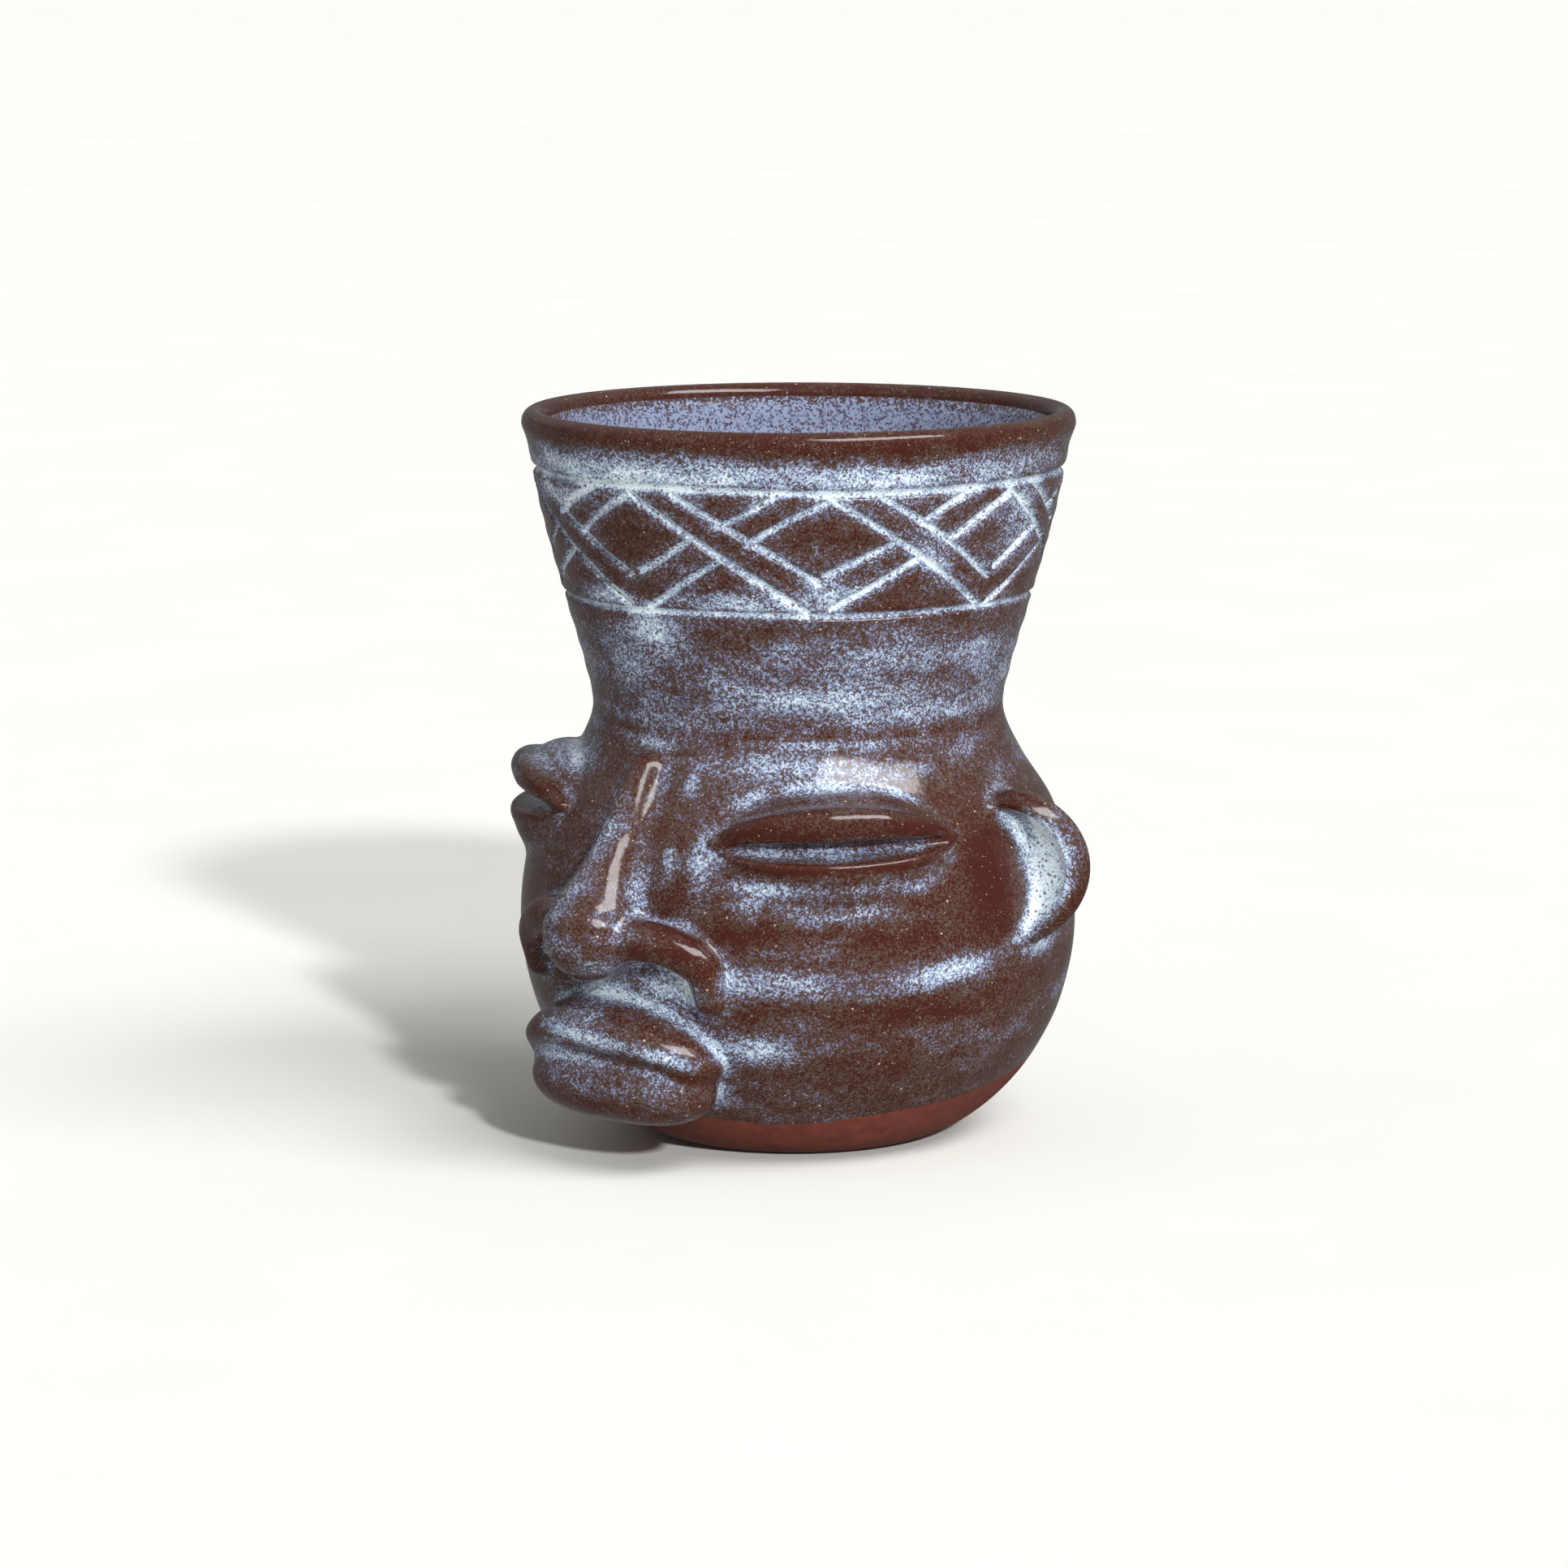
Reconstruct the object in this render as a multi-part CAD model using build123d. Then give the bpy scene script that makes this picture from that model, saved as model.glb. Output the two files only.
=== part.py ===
"""Head-shaped stoneware drinking mug, built as a potter builds it.

A round head bowl is thrown on a pinched-up base, a flared cup is joined on at the waist, a carved
band and a rolled rim finish the top, and the face (lids, nose, nostril coils, lips, ears) is luted
on to the bowl in separate lumps of clay.  One coat of glaze lines the inside.

Millimetres, +Z up.  The origin is the centre of the flat base on the table.  The face looks along
-Y, so the head's own left side is +X.  Azimuths are measured from the face, positive towards +X.
"""
from build123d import *
import math
import os

# ---- driving dimensions ------------------------------------------------------------------------
HEIGHT = 125.0
BASE_RADIUS = 25.2
BOWL_RADIUS = 47.8
WAIST_RADIUS = 35.3
RIM_RADIUS = 47.2
WALL = 4.8
FLOOR = 6.0
GLAZE = 0.4

BASE_TOP = 10.5         # joint between pinched base and bowl
BOWL_LOWER_TOP = 28.0   # joint between the lowest course of the bowl and the cheeks
BOWL_EQUATOR = 34.0     # height of the widest circle
BOWL_CHEEKS_TOP = 50.0  # joint between the cheeks and the shoulder
WAIST_TOP = 72.5        # joint between bowl and cup
BAND_BOTTOM = 94.0      # carved band, lower border groove
BAND_TOP = 115.0        # carved band, upper border groove
RIM_ROLL = 2.6          # half thickness of the rolled rim
EVERYWHERE = 90.0       # farther from the axis than any part of the mug

GROOVE_WIDTH = 1.1
GROOVE_DEPTH = 0.6
BLADE_DEPTH = 14.0
LATTICE_REPEATS = 8
LATTICE_MARGIN = 0.5   # between the ends of the carved lines and the border grooves
LATTICE_PHASE = 3.0    # azimuth where the first pair of ribbons starts

EYE_AZIMUTH = 49.5
EYE_HALF_SPAN = 27.0
EYE_HEIGHT = 56.8
EYE_RADIUS = 40.4      # distance of the ball's core from the axis, in the middle of the eye
EYE_FLARE = 3.4        # how much farther out that core lies at the corners
EYE_DROP = 0.6         # how much lower the ball's middle is than the slit
RIGHT_EYE_RAISED = 2.4      # the hand-modelled face is a little uneven
RIGHT_NOSTRIL_RAISED = 1.8
SLIT_HALF_SIZE = (20.5, 7.0, 1.4)
SLIT_RADIUS = 46.6
# Sections of the eyeball as (share of the half span, half depth, half height).
EYE_SECTIONS = [
    (-1.0, 1.0, 1.0),
    (-0.86, 4.6, 4.6),
    (-0.5, 7.8, 8.0),
    (0.0, 9.2, 9.4),
    (0.5, 8.2, 8.8),
    (0.86, 5.2, 5.8),
    (1.0, 1.2, 1.4),
]

# Level sections of the nose as (height, distance of the front from the axis, half width, half depth).
NOSE_SECTIONS = [
    (68.0, 39.8, 2.6, 5.0),
    (62.0, 44.6, 3.4, 8.0),
    (55.0, 48.8, 4.4, 10.0),
    (48.0, 54.4, 6.0, 13.0),
    (41.0, 60.0, 8.4, 14.0),
    (35.5, 57.4, 7.4, 10.6),
    (32.4, 53.0, 4.6, 6.6),
]
# Centres of the nostril coil as (azimuth, distance from the axis, height, radius of the coil).
NOSTRIL_COIL = [
    (6.0, 51.0, 38.8, 3.2),
    (12.0, 50.4, 40.6, 3.7),
    (18.5, 49.2, 39.0, 3.5),
    (22.8, 48.8, 35.2, 3.0),
    (24.2, 47.6, 30.2, 1.9),
]

# Sections of each lip from the middle to a corner, as
# (azimuth, distance from the axis, height, half depth, half height).
UPPER_LIP = [
    (0.0, 49.0, 24.6, 6.6, 4.4),
    (9.0, 48.8, 24.2, 6.4, 4.3),
    (17.0, 47.4, 22.4, 5.6, 3.9),
    (22.6, 46.0, 19.9, 4.4, 3.0),
    (25.4, 45.0, 18.0, 1.6, 1.2),
]
LOWER_LIP = [
    (0.0, 48.0, 15.6, 6.6, 5.6),
    (9.0, 47.8, 15.1, 6.5, 5.6),
    (17.0, 46.2, 14.4, 5.8, 5.0),
    (22.2, 44.6, 14.4, 4.6, 3.8),
    (24.8, 43.6, 15.2, 1.6, 1.4),
]

EAR_AZIMUTH = 98.0
EAR_HEIGHT = 49.0
EAR_CENTRE_RADIUS = 44.8
EAR_RADIUS = 12.6
EAR_HALF_THICKNESS = 6.4
EAR_HOLLOW_RADIUS = 10.0
EAR_HOLLOW_SHIFT = 3.6

# Outer outline of the thrown wall, as (radius, height), from the base edge to the rim.
OUTLINE = [
    (BASE_RADIUS, 0.0),
    (31.8, 4.0),
    (37.3, 9.0),
    (41.7, 15.0),
    (45.5, 23.0),
    (BOWL_RADIUS, BOWL_EQUATOR),
    (47.2, 46.0),
    (44.0, 57.0),
    (38.4, 66.0),
    (WAIST_RADIUS, 73.4),
    (36.4, 80.5),
    (40.1, 93.5),
    (44.2, 109.0),
    (RIM_RADIUS - 0.6, HEIGHT - RIM_ROLL),
]
# The inside follows the outline between these heights, over a floor with a rounded edge.
INSIDE_LOW, INSIDE_HIGH = 12.0, 117.0
FLOOR_FLAT_RADIUS = 12.0
FLOOR_EDGE_RADIUS = 28.0
FLOOR_EDGE_RISE = 2.6
FLOOR_DISH = 0.2        # how much lower the floor is in its very middle
MOUTH_INSET = 0.4       # how much more the inside is pulled in at the rim


# ---- helpers -----------------------------------------------------------------------------------
def spot(azimuth, radius, height):
    """A point by azimuth from the face, distance from the axis, and height."""
    angle = math.radians(azimuth)
    return Vector(radius * math.sin(angle), -radius * math.cos(angle), height)


def turned(shape, azimuth):
    """A shape made facing -Y, turned to an azimuth."""
    return Rot(0, 0, azimuth) * shape


def revolved(points_up, top, bottom):
    """The solid of revolution under a spline outline, closed along the axis."""
    side = Spline([(r, 0, z) for r, z in points_up])
    first, last = points_up[0], points_up[-1]
    edges = [
        side,
        Line((last[0], 0, last[1]), (0, 0, top)),
        Line((0, 0, top), (0, 0, bottom)),
        Line((0, 0, bottom), (first[0], 0, first[1])),
    ]
    return revolve(make_face(edges), Axis.Z)


def upright_cylinder(radius, height):
    """A cylinder that stands on the origin."""
    return Cylinder(radius, height, align=(Align.CENTER, Align.CENTER, Align.MIN))


def slab(low, high):
    """Everything between two heights."""
    return Pos(0, 0, low) * upright_cylinder(EVERYWHERE, high - low)


def radial_loft(sections):
    """A lump that wraps round the bowl: ellipses in upright planes through the axis.

    Each section is (azimuth, radius, height, half depth, half height).
    """
    faces = []
    for azimuth, radius, height, half_depth, half_height in sections:
        angle = math.radians(azimuth)
        plane = Plane(
            origin=spot(azimuth, radius, height),
            x_dir=(math.sin(angle), -math.cos(angle), 0),
            z_dir=(math.cos(angle), math.sin(angle), 0),
        )
        faces.append(plane * Ellipse(half_depth, half_height))
    return loft(faces)


def path_loft(points, radii):
    """A tapering coil of round section along a chain of points."""
    faces = []
    for i, (point, radius) in enumerate(zip(points, radii)):
        before, after = points[max(i - 1, 0)], points[min(i + 1, len(points) - 1)]
        faces.append(Plane(origin=point, z_dir=(after - before).normalized()) * Circle(radius))
    return loft(faces)


def one_solid(shape):
    """The largest solid of a shape, without the slivers that a cut can leave."""
    return max(shape.solids(), key=lambda s: s.volume)


# ---- thrown wall -------------------------------------------------------------------------------
outer = revolved(OUTLINE, HEIGHT - RIM_ROLL, 0.0)


def inner_points(gap):
    """The outline of the inside, pulled in by a gap, from the floor to just under the rim."""
    floor_height = FLOOR + gap - WALL
    floor = [(FLOOR_FLAT_RADIUS, floor_height), (FLOOR_EDGE_RADIUS, floor_height + FLOOR_EDGE_RISE)]
    side = [(r - gap, z) for r, z in OUTLINE if INSIDE_LOW < z < INSIDE_HIGH]
    return floor + side + [(RIM_RADIUS - gap - MOUTH_INSET, HEIGHT - RIM_ROLL)]


def hollow(gap):
    """The space inside, as a solid that runs out through the mouth."""
    points = inner_points(gap)
    middle_of_floor = points[0][1] - FLOOR_DISH
    well = revolved(points, HEIGHT - RIM_ROLL, middle_of_floor)
    mouth = Pos(0, 0, HEIGHT - RIM_ROLL) * upright_cylinder(points[-1][0], HEIGHT)
    return well + mouth


clay_hollow = hollow(WALL - GLAZE)
drink_hollow = hollow(WALL)

rim_centre = RIM_RADIUS - RIM_ROLL
rim_roll = Pos(0, 0, HEIGHT - RIM_ROLL) * Torus(rim_centre, RIM_ROLL)
wall = outer - clay_hollow


def foot_base():
    return wall & slab(-1, BASE_TOP)


def bowl_lower():
    return wall & slab(BASE_TOP, BOWL_LOWER_TOP)


def bowl_cheeks():
    return wall & slab(BOWL_LOWER_TOP, BOWL_CHEEKS_TOP)


def bowl_shoulder():
    return wall & slab(BOWL_CHEEKS_TOP, WAIST_TOP)


def cup_wall():
    return wall & slab(WAIST_TOP, BAND_BOTTOM)


def border_groove(height):
    """A groove of half-round section all round the wall."""
    return Pos(0, 0, height) * Torus(outline_radius(height), GROOVE_DEPTH)


def outline_radius(height):
    """The outer radius of the wall at a height, measured on the solid."""
    cut = outer & Plane(origin=(0, 0, height)) * Circle(EVERYWHERE)
    return cut.bounding_box().max.X


def lattice_lines():
    """The carved lines of one repeat, as ((azimuth, height), (azimuth, height)).

    Ribbons that fall away to the left side lie over those that rise, so the edges of the lower
    ribbon stop at the edges of the upper one.
    """
    top = BAND_TOP - LATTICE_MARGIN
    bottom = BAND_BOTTOM + LATTICE_MARGIN
    over_low = ((0.5, top), (41.0, bottom))
    over_high = ((11.0, top), (42.5, 100.0))
    under_high = ((0.3, 100.9), (35.0, top))
    under_low = ((0.9, 95.5), (45.0, 113.6))
    lines = [over_low, over_high]
    for start, end in (under_high, under_low):
        near = crossing((start, end), over_low)
        far = crossing((start, end), over_high)
        lines += [(start, near), (far, end)]
    return lines


def crossing(first, second):
    """Where two lines meet in the unrolled band."""
    (a0, z0), (a1, z1) = first
    (b0, y0), (b1, y1) = second
    slope_a, slope_b = (z1 - z0) / (a1 - a0), (y1 - y0) / (b1 - b0)
    azimuth = (y0 - z0 + slope_a * a0 - slope_b * b0) / (slope_a - slope_b)
    return azimuth, z0 + slope_a * (azimuth - a0)


def lattice_blade(start, end):
    """A thin upright blade that takes one carved stroke out of the skin of the band."""
    a = spot(start[0], outline_radius(start[1]), start[1])
    b = spot(end[0], outline_radius(end[1]), end[1])
    along = (b - a).normalized()
    out = spot((start[0] + end[0]) / 2, 1.0, 0.0)
    plane = Plane(origin=(a + b) * 0.5, x_dir=along, z_dir=along.cross(out))
    return plane * Box((b - a).length, BLADE_DEPTH, GROOVE_WIDTH)


def carved_band():
    ring = wall & slab(BAND_BOTTOM, BAND_TOP)
    core = revolved([(r - GROOVE_DEPTH, z) for r, z in OUTLINE], HEIGHT - RIM_ROLL, 0.0)
    blades = []
    for start, end in lattice_lines():
        blade = lattice_blade(start, end)
        for repeat in range(LATTICE_REPEATS):
            blades.append(turned(blade, LATTICE_PHASE + repeat * 360 / LATTICE_REPEATS))
    band = (ring & core) + ((ring - core) - blades)
    return one_solid(band - border_groove(BAND_BOTTOM) - border_groove(BAND_TOP))


def rim_collar():
    collar = wall & slab(BAND_TOP, HEIGHT - RIM_ROLL)
    return one_solid((collar + rim_roll) - border_groove(BAND_TOP))


def glaze_liner():
    """The glaze on the inside, one unbroken skin from the floor to the inner edge of the rim."""
    skin = (clay_hollow - drink_hollow) & slab(0, HEIGHT - RIM_ROLL)
    return one_solid(skin - rim_roll)


# ---- face --------------------------------------------------------------------------------------
def raised(side, amount):
    """How much higher a piece sits on this side of the face: only the right side is raised."""
    return amount if side < 0 else 0.0


def eye_ball(side):
    """The bean-shaped lump under both lids."""
    height = EYE_HEIGHT - EYE_DROP + raised(side, RIGHT_EYE_RAISED)
    sections = []
    for share, depth, tall in EYE_SECTIONS:
        azimuth = side * (EYE_AZIMUTH + share * EYE_HALF_SPAN)
        radius = EYE_RADIUS + EYE_FLARE * share * share
        sections.append((azimuth, radius, height, depth, tall))
    return radial_loft(sections)


def eye_slit(side):
    """The lens-shaped gap between the lids, deepest in the middle."""
    lens = scale(Sphere(1), by=SLIT_HALF_SIZE)
    height = EYE_HEIGHT + raised(side, RIGHT_EYE_RAISED)
    return turned(Pos(0, -SLIT_RADIUS, height) * lens, side * EYE_AZIMUTH)


def lids(side):
    """Upper and lower lid of one eye, which meet behind the slit."""
    middle = EYE_HEIGHT + raised(side, RIGHT_EYE_RAISED)
    lump = eye_ball(side) - eye_slit(side) - outer
    upper = one_solid(lump & slab(middle, HEIGHT))
    lower = one_solid(lump & slab(0, middle))
    return upper, lower


def nose_lump():
    """The wedge of the nose: level ellipses from the root down to the underside of the tip."""
    faces = []
    for height, front, half_width, half_depth in NOSE_SECTIONS:
        plane = Plane(origin=(0, -(front - half_depth), height))
        faces.append(plane * Ellipse(half_width, half_depth))
    return loft(faces)


def nostril_coil(side):
    """The coil that arches from the side of the tip over the nostril to the cheek."""
    lift = raised(side, RIGHT_NOSTRIL_RAISED)
    points = [spot(side * azimuth, radius, height + lift) for azimuth, radius, height, _ in NOSTRIL_COIL]
    radii = [thickness for _, _, _, thickness in NOSTRIL_COIL]
    return path_loft(points, radii)


def lip(middle_outwards):
    """One lip from corner to corner, given its sections from the middle to one corner."""
    other_half = [(-section[0],) + section[1:] for section in middle_outwards[:0:-1]]
    return radial_loft(other_half + list(middle_outwards))


def ear():
    """The left ear: a cupped shell that stands out from the head, hollow towards the face."""
    shell = flattened_ball(EAR_RADIUS, EAR_HALF_THICKNESS)
    hollow_front = Pos(0, -EAR_HOLLOW_SHIFT, 0) * flattened_ball(EAR_HOLLOW_RADIUS, EAR_HALF_THICKNESS)
    placed = Pos(EAR_CENTRE_RADIUS, 0, EAR_HEIGHT) * (shell - hollow_front)
    return one_solid(turned(placed, EAR_AZIMUTH - 90) - outer)


def flattened_ball(radius, half_thickness):
    """A round cushion in the XZ plane, thin along Y."""
    whole = Ellipse(radius, half_thickness)
    half = whole & Rectangle(radius, 2 * half_thickness, align=(Align.MIN, Align.CENTER))
    return revolve(half, Axis.Y)


def face():
    """Every luted piece of the face by name, each cut to sit on the bowl and its neighbours."""
    pieces = {}
    nose = one_solid(nose_lump() - outer)
    for side, word in ((1, "left"), (-1, "right")):
        pieces["upper_lid_" + word], pieces["lower_lid_" + word] = lids(side)
        pieces["nostril_coil_" + word] = one_solid(nostril_coil(side) - outer - nose)
        pieces["ear_" + word] = ear() if side > 0 else mirror(ear(), about=Plane.YZ)
    pieces["nose"] = nose
    pieces["upper_lip"] = one_solid(lip(UPPER_LIP) - outer - nose)
    pieces["lower_lip"] = one_solid(lip(LOWER_LIP) - outer - pieces["upper_lip"])
    return pieces


def main():
    os.makedirs("parts", exist_ok=True)
    nodes = {
        "foot_base": foot_base(),
        "bowl_lower": bowl_lower(),
        "bowl_cheeks": bowl_cheeks(),
        "bowl_shoulder": bowl_shoulder(),
        "cup_wall": cup_wall(),
        "carved_band": carved_band(),
        "rim_collar": rim_collar(),
        "glaze_liner": glaze_liner(),
    }
    nodes.update(face())
    for name, shape in nodes.items():
        export_step(shape, "parts/" + name + ".step")


main()
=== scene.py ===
"""The looks of the head-shaped stoneware mug: its modelled clay, its glaze, and a plain studio.

The head is sculpted as one smooth distance field, in millimetres, so that every lump of clay blends
into the bowl as luted clay does.  The field is turned into a mesh, the mesh is divided where one
lump meets the next, and every part is closed into a piece of its own.  The cup, the carved band,
the rim and the inside are turned on the axis.  The glaze is thick where the surface is hollow and
thin on every crest, and its colour follows its thickness.
"""

import math

import bpy
import numpy as np
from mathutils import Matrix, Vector
from mathutils.geometry import delaunay_2d_cdt


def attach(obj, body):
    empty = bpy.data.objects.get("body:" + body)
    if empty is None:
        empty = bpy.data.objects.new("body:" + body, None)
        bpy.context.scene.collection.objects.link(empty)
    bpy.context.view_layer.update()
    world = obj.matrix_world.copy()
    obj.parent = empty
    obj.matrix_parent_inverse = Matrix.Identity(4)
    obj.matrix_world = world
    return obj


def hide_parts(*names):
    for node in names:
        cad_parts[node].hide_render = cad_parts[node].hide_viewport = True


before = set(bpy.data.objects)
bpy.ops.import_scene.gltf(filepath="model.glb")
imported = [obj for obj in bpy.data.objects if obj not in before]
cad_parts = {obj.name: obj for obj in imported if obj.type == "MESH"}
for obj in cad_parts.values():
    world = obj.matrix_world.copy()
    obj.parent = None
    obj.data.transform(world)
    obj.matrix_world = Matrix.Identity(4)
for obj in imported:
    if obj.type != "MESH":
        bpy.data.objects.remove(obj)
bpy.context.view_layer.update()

MM = 0.001
CELL = 0.5           # pitch of the grid that the head is meshed on

# ---- sizes of the thrown wall, in millimetres --------------------------------------------------
WALL = 4.8
FLOOR = 6.0
GLAZE_STEP = 0.4       # how far the clay's inside is cut back for the glaze that lines it
RIM_RADIUS = 47.2
WAIST = 72.5
BAND_BOTTOM, BAND_TOP = 94.0, 115.0
HEAD_RADIUS = 46.0     # at which distances round the head are measured

# Outer outline as (radius, height).
OUTLINE = [
    (25.2, 0.0), (31.8, 4.0), (37.3, 9.0), (41.7, 15.0), (45.5, 23.0), (47.8, 34.0), (47.2, 46.0),
    (44.0, 57.0), (38.4, 66.0), (35.3, 73.4), (36.4, 80.5), (40.1, 93.5), (44.2, 109.0), (46.6, 122.4),
]


# ---- small tools -------------------------------------------------------------------------------
def smoothstep(low, high, x):
    t = np.clip((x - low) / (high - low), 0.0, 1.0)
    return t * t * (3 - 2 * t)


def blend_union(a, b, width):
    """The union of two fields with a fillet of about that width."""
    h = np.clip(0.5 + 0.5 * (b - a) / width, 0.0, 1.0)
    return b + (a - b) * h - width * h * (1 - h)


def blend_cut(a, b, width):
    """Field a with field b taken out of it, with a rounded edge."""
    return -blend_union(-a, b, width)


def spline_through(points, count=600):
    """A smooth curve through points, by chord length, as rows of the same width."""
    p = np.array(points, float)
    s = np.r_[0, np.cumsum(np.linalg.norm(np.diff(p, axis=0), axis=1))]
    slope = np.empty_like(p)
    slope[1:-1] = (p[2:] - p[:-2]) / (s[2:] - s[:-2])[:, None]
    slope[0] = (p[1] - p[0]) / (s[1] - s[0])
    slope[-1] = (p[-1] - p[-2]) / (s[-1] - s[-2])
    u = np.linspace(0, s[-1], count)
    i = np.clip(np.searchsorted(s, u, side="right") - 1, 0, len(s) - 2)
    step = (s[i + 1] - s[i])[:, None]
    t = ((u - s[i])[:, None]) / step
    return (
        (1 + 2 * t) * (1 - t) ** 2 * p[i]
        + t * (1 - t) ** 2 * step * slope[i]
        + t * t * (3 - 2 * t) * p[i + 1]
        + t * t * (t - 1) * step * slope[i + 1]
    )


PROFILE = spline_through(OUTLINE)
PROFILE_SLOPE = np.gradient(PROFILE[:, 0], PROFILE[:, 1])


def wall_radius(z):
    """Outer radius of the thrown wall at a height."""
    return np.interp(z, PROFILE[:, 1], PROFILE[:, 0])


def wall_slope(z):
    """How fast that radius grows with height."""
    return np.interp(z, PROFILE[:, 1], PROFILE_SLOPE)


def azimuth_of(p):
    """Degrees round the axis from the face towards the head's own left side."""
    return np.degrees(np.arctan2(p[..., 0], -p[..., 1]))


def at(azimuth, radius, z):
    """A point by azimuth from the face in degrees, distance from the axis, and height."""
    a = math.radians(azimuth)
    return np.array([radius * math.sin(a), -radius * math.cos(a), z])


# ---- shapes of modelled clay -------------------------------------------------------------------
def rolled_coil(p, points, radii):
    """A coil of changing thickness along a chain of points: the union of round cones."""
    result = None
    for a, b, ra, rb in zip(points[:-1], points[1:], radii[:-1], radii[1:]):
        axis = b - a
        t = np.clip(((p - a) @ axis) / (axis @ axis), 0.0, 1.0)
        near = p - a - t[..., None] * axis
        d = np.sqrt((near * near).sum(-1)) - (ra + (rb - ra) * t)
        result = d if result is None else np.minimum(result, d)
    return result


def smooth_coil(p, points, radii, count=14):
    """The same through a spline, so that the coil has no corners."""
    rows = spline_through([tuple(q) + (r,) for q, r in zip(points, radii)], count)
    return rolled_coil(p, rows[:, :3], rows[:, 3])


def bean(q, half):
    """The field of an ellipsoid, near enough to a distance close to its surface."""
    half = np.array(half, float)
    k0 = np.sqrt(((q / half) ** 2).sum(-1))
    k1 = np.sqrt(((q / half ** 2) ** 2).sum(-1)) + 1e-9
    return k0 * (k0 - 1.0) / k1


def wrapped(p, azimuth, z, radius, reach=HEAD_RADIUS):
    """Coordinates that follow the round of the head: along, up, and out from a place on it."""
    rho = np.hypot(p[..., 0], p[..., 1])
    angle = azimuth_of(p) - azimuth
    along = np.radians((angle + 180.0) % 360.0 - 180.0) * reach
    return np.stack([along, p[..., 2] - z, rho - radius], -1)


def mirrored(p, higher=0.0):
    """The same points on the head's own left side, so that both sides are modelled at once.

    The right side is modelled higher than the left by that much, as a hand would leave it.
    """
    q = p.copy()
    q[..., 0] = np.abs(q[..., 0])
    q[..., 2] -= higher * (p[..., 0] < 0)
    return q


# ---- the lumps of the face ---------------------------------------------------------------------
EYE_AZIMUTH, EYE_Z = 49.5, 56.6
EYE_HIGHER = 2.4          # how much higher the right eye is than the left
NOSTRIL_HIGHER = 1.8      # and the same for the nostril


def thrown_bowl(p):
    """The bowl as it left the wheel, flat underneath with a softened edge."""
    rho = np.hypot(p[..., 0], p[..., 1])
    z = p[..., 2]
    side = (rho - wall_radius(z)) / np.sqrt(1 + wall_slope(z) ** 2)
    return -blend_union(-side, z, 1.6)


def nose(p):
    """A ridge that starts low between the brows, dips at the bridge and swells to a heavy tip."""
    spine = [(0, -38.6, 67.0), (0, -41.6, 61.5), (0, -44.6, 55.0), (0, -48.6, 48.0), (0, -51.6, 41.2)]
    return smooth_coil(p, [np.array(q, float) for q in spine], (2.4, 3.2, 4.0, 5.6, 8.3), 26)


def nostril_coil(q):
    """A coil from the side of the nose, arched over the nostril, by azimuth, radius and height."""
    arch = [
        (4.0, 50.2, 39.8), (11.0, 50.8, 40.4), (17.0, 49.9, 39.3), (22.6, 49.0, 36.2), (23.8, 47.9, 30.8),
    ]
    return smooth_coil(q, [at(*place) for place in arch], (4.2, 3.7, 3.6, 3.2, 2.5), 22)


def eyeball(q):
    """The bulge of the closed eye under both lids."""
    w = wrapped(q, EYE_AZIMUTH + 1.0, EYE_Z - 2.6, 40.2)
    w[..., 2] += 0.0021 * w[..., 0] ** 2
    return bean(w, (24.0, 10.8, 9.2))


def lid_coil(q, rise, radius_mid, standing, count=16):
    """The roll of one lid: an arc from corner to corner that rises by that much in the middle."""
    points, radii = [], []
    for share in np.linspace(-1, 1, 9):
        arch = 1 - share * share
        azimuth = EYE_AZIMUTH + 0.4 + 27.0 * share
        points.append(at(azimuth, standing - 3.2 * share * share, EYE_Z + rise * arch))
        radii.append(0.7 + (radius_mid - 0.7) * arch ** 0.6)
    return smooth_coil(q, points, radii, count)


def upper_lid(q):
    return lid_coil(q, 4.1, 2.8, 46.7)


def lower_lid(q):
    return lid_coil(q, -3.8, 1.6, 47.9)


def eye_slit(q):
    """The cut between the lids, shallower towards the corners."""
    w = wrapped(q, EYE_AZIMUTH + 0.3, EYE_Z - 0.5, 49.6)
    w[..., 1] -= 0.02 * w[..., 0]
    w[..., 2] += 0.0050 * w[..., 0] ** 2
    return bean(w, (22.5, 1.9, 5.0))


def mouth_half(p, z_middle, fall, half, radius):
    """One lip: a long cushion with blunt ends, bent down a little towards the corners."""
    w = wrapped(p, 0.0, 0.0, radius, 45.0)
    share = np.abs(w[..., 0]) / half[0]
    w[..., 1] -= z_middle - fall * share ** 2
    w[..., 0] *= np.minimum(share, 1.6) ** 0.45
    return bean(w, half)


def upper_lip(p):
    return mouth_half(p, 24.5, 5.6, (20.0, 5.3, 9.6), 45.6)


def lower_lip(p):
    return mouth_half(p, 15.2, 1.0, (18.6, 7.0, 9.6), 45.0)


def ear_place(q):
    """Coordinates of the ear: out from the head, back along it, and up."""
    d = q - at(99.0, 44.8, 49.8)
    local = np.stack([d @ at(99.0, 1.0, 0.0), d @ at(189.0, 1.0, 0.0), d[..., 2]], -1)
    local[..., 1] -= 0.035 * local[..., 0] ** 2 - 2.0
    return local


def thumb_mark(local):
    """What the thumb pressed out of the ear."""
    return bean(local + np.array([0.0, 5.6, 0.2]), (10.2, 7.8, 11.2))


def ear_cup(q):
    """A flattened cushion with its front pressed in by a thumb."""
    local = ear_place(q)
    return blend_cut(bean(local, (11.4, 6.4, 13.2)), thumb_mark(local), 1.3)


def under_nostril(q):
    """The hollow that a fingertip leaves under the arch of the nostril coil."""
    w = wrapped(q, 12.6, 33.0, 52.6)
    return bean(w, (5.6, 3.6, 5.6))


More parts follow.
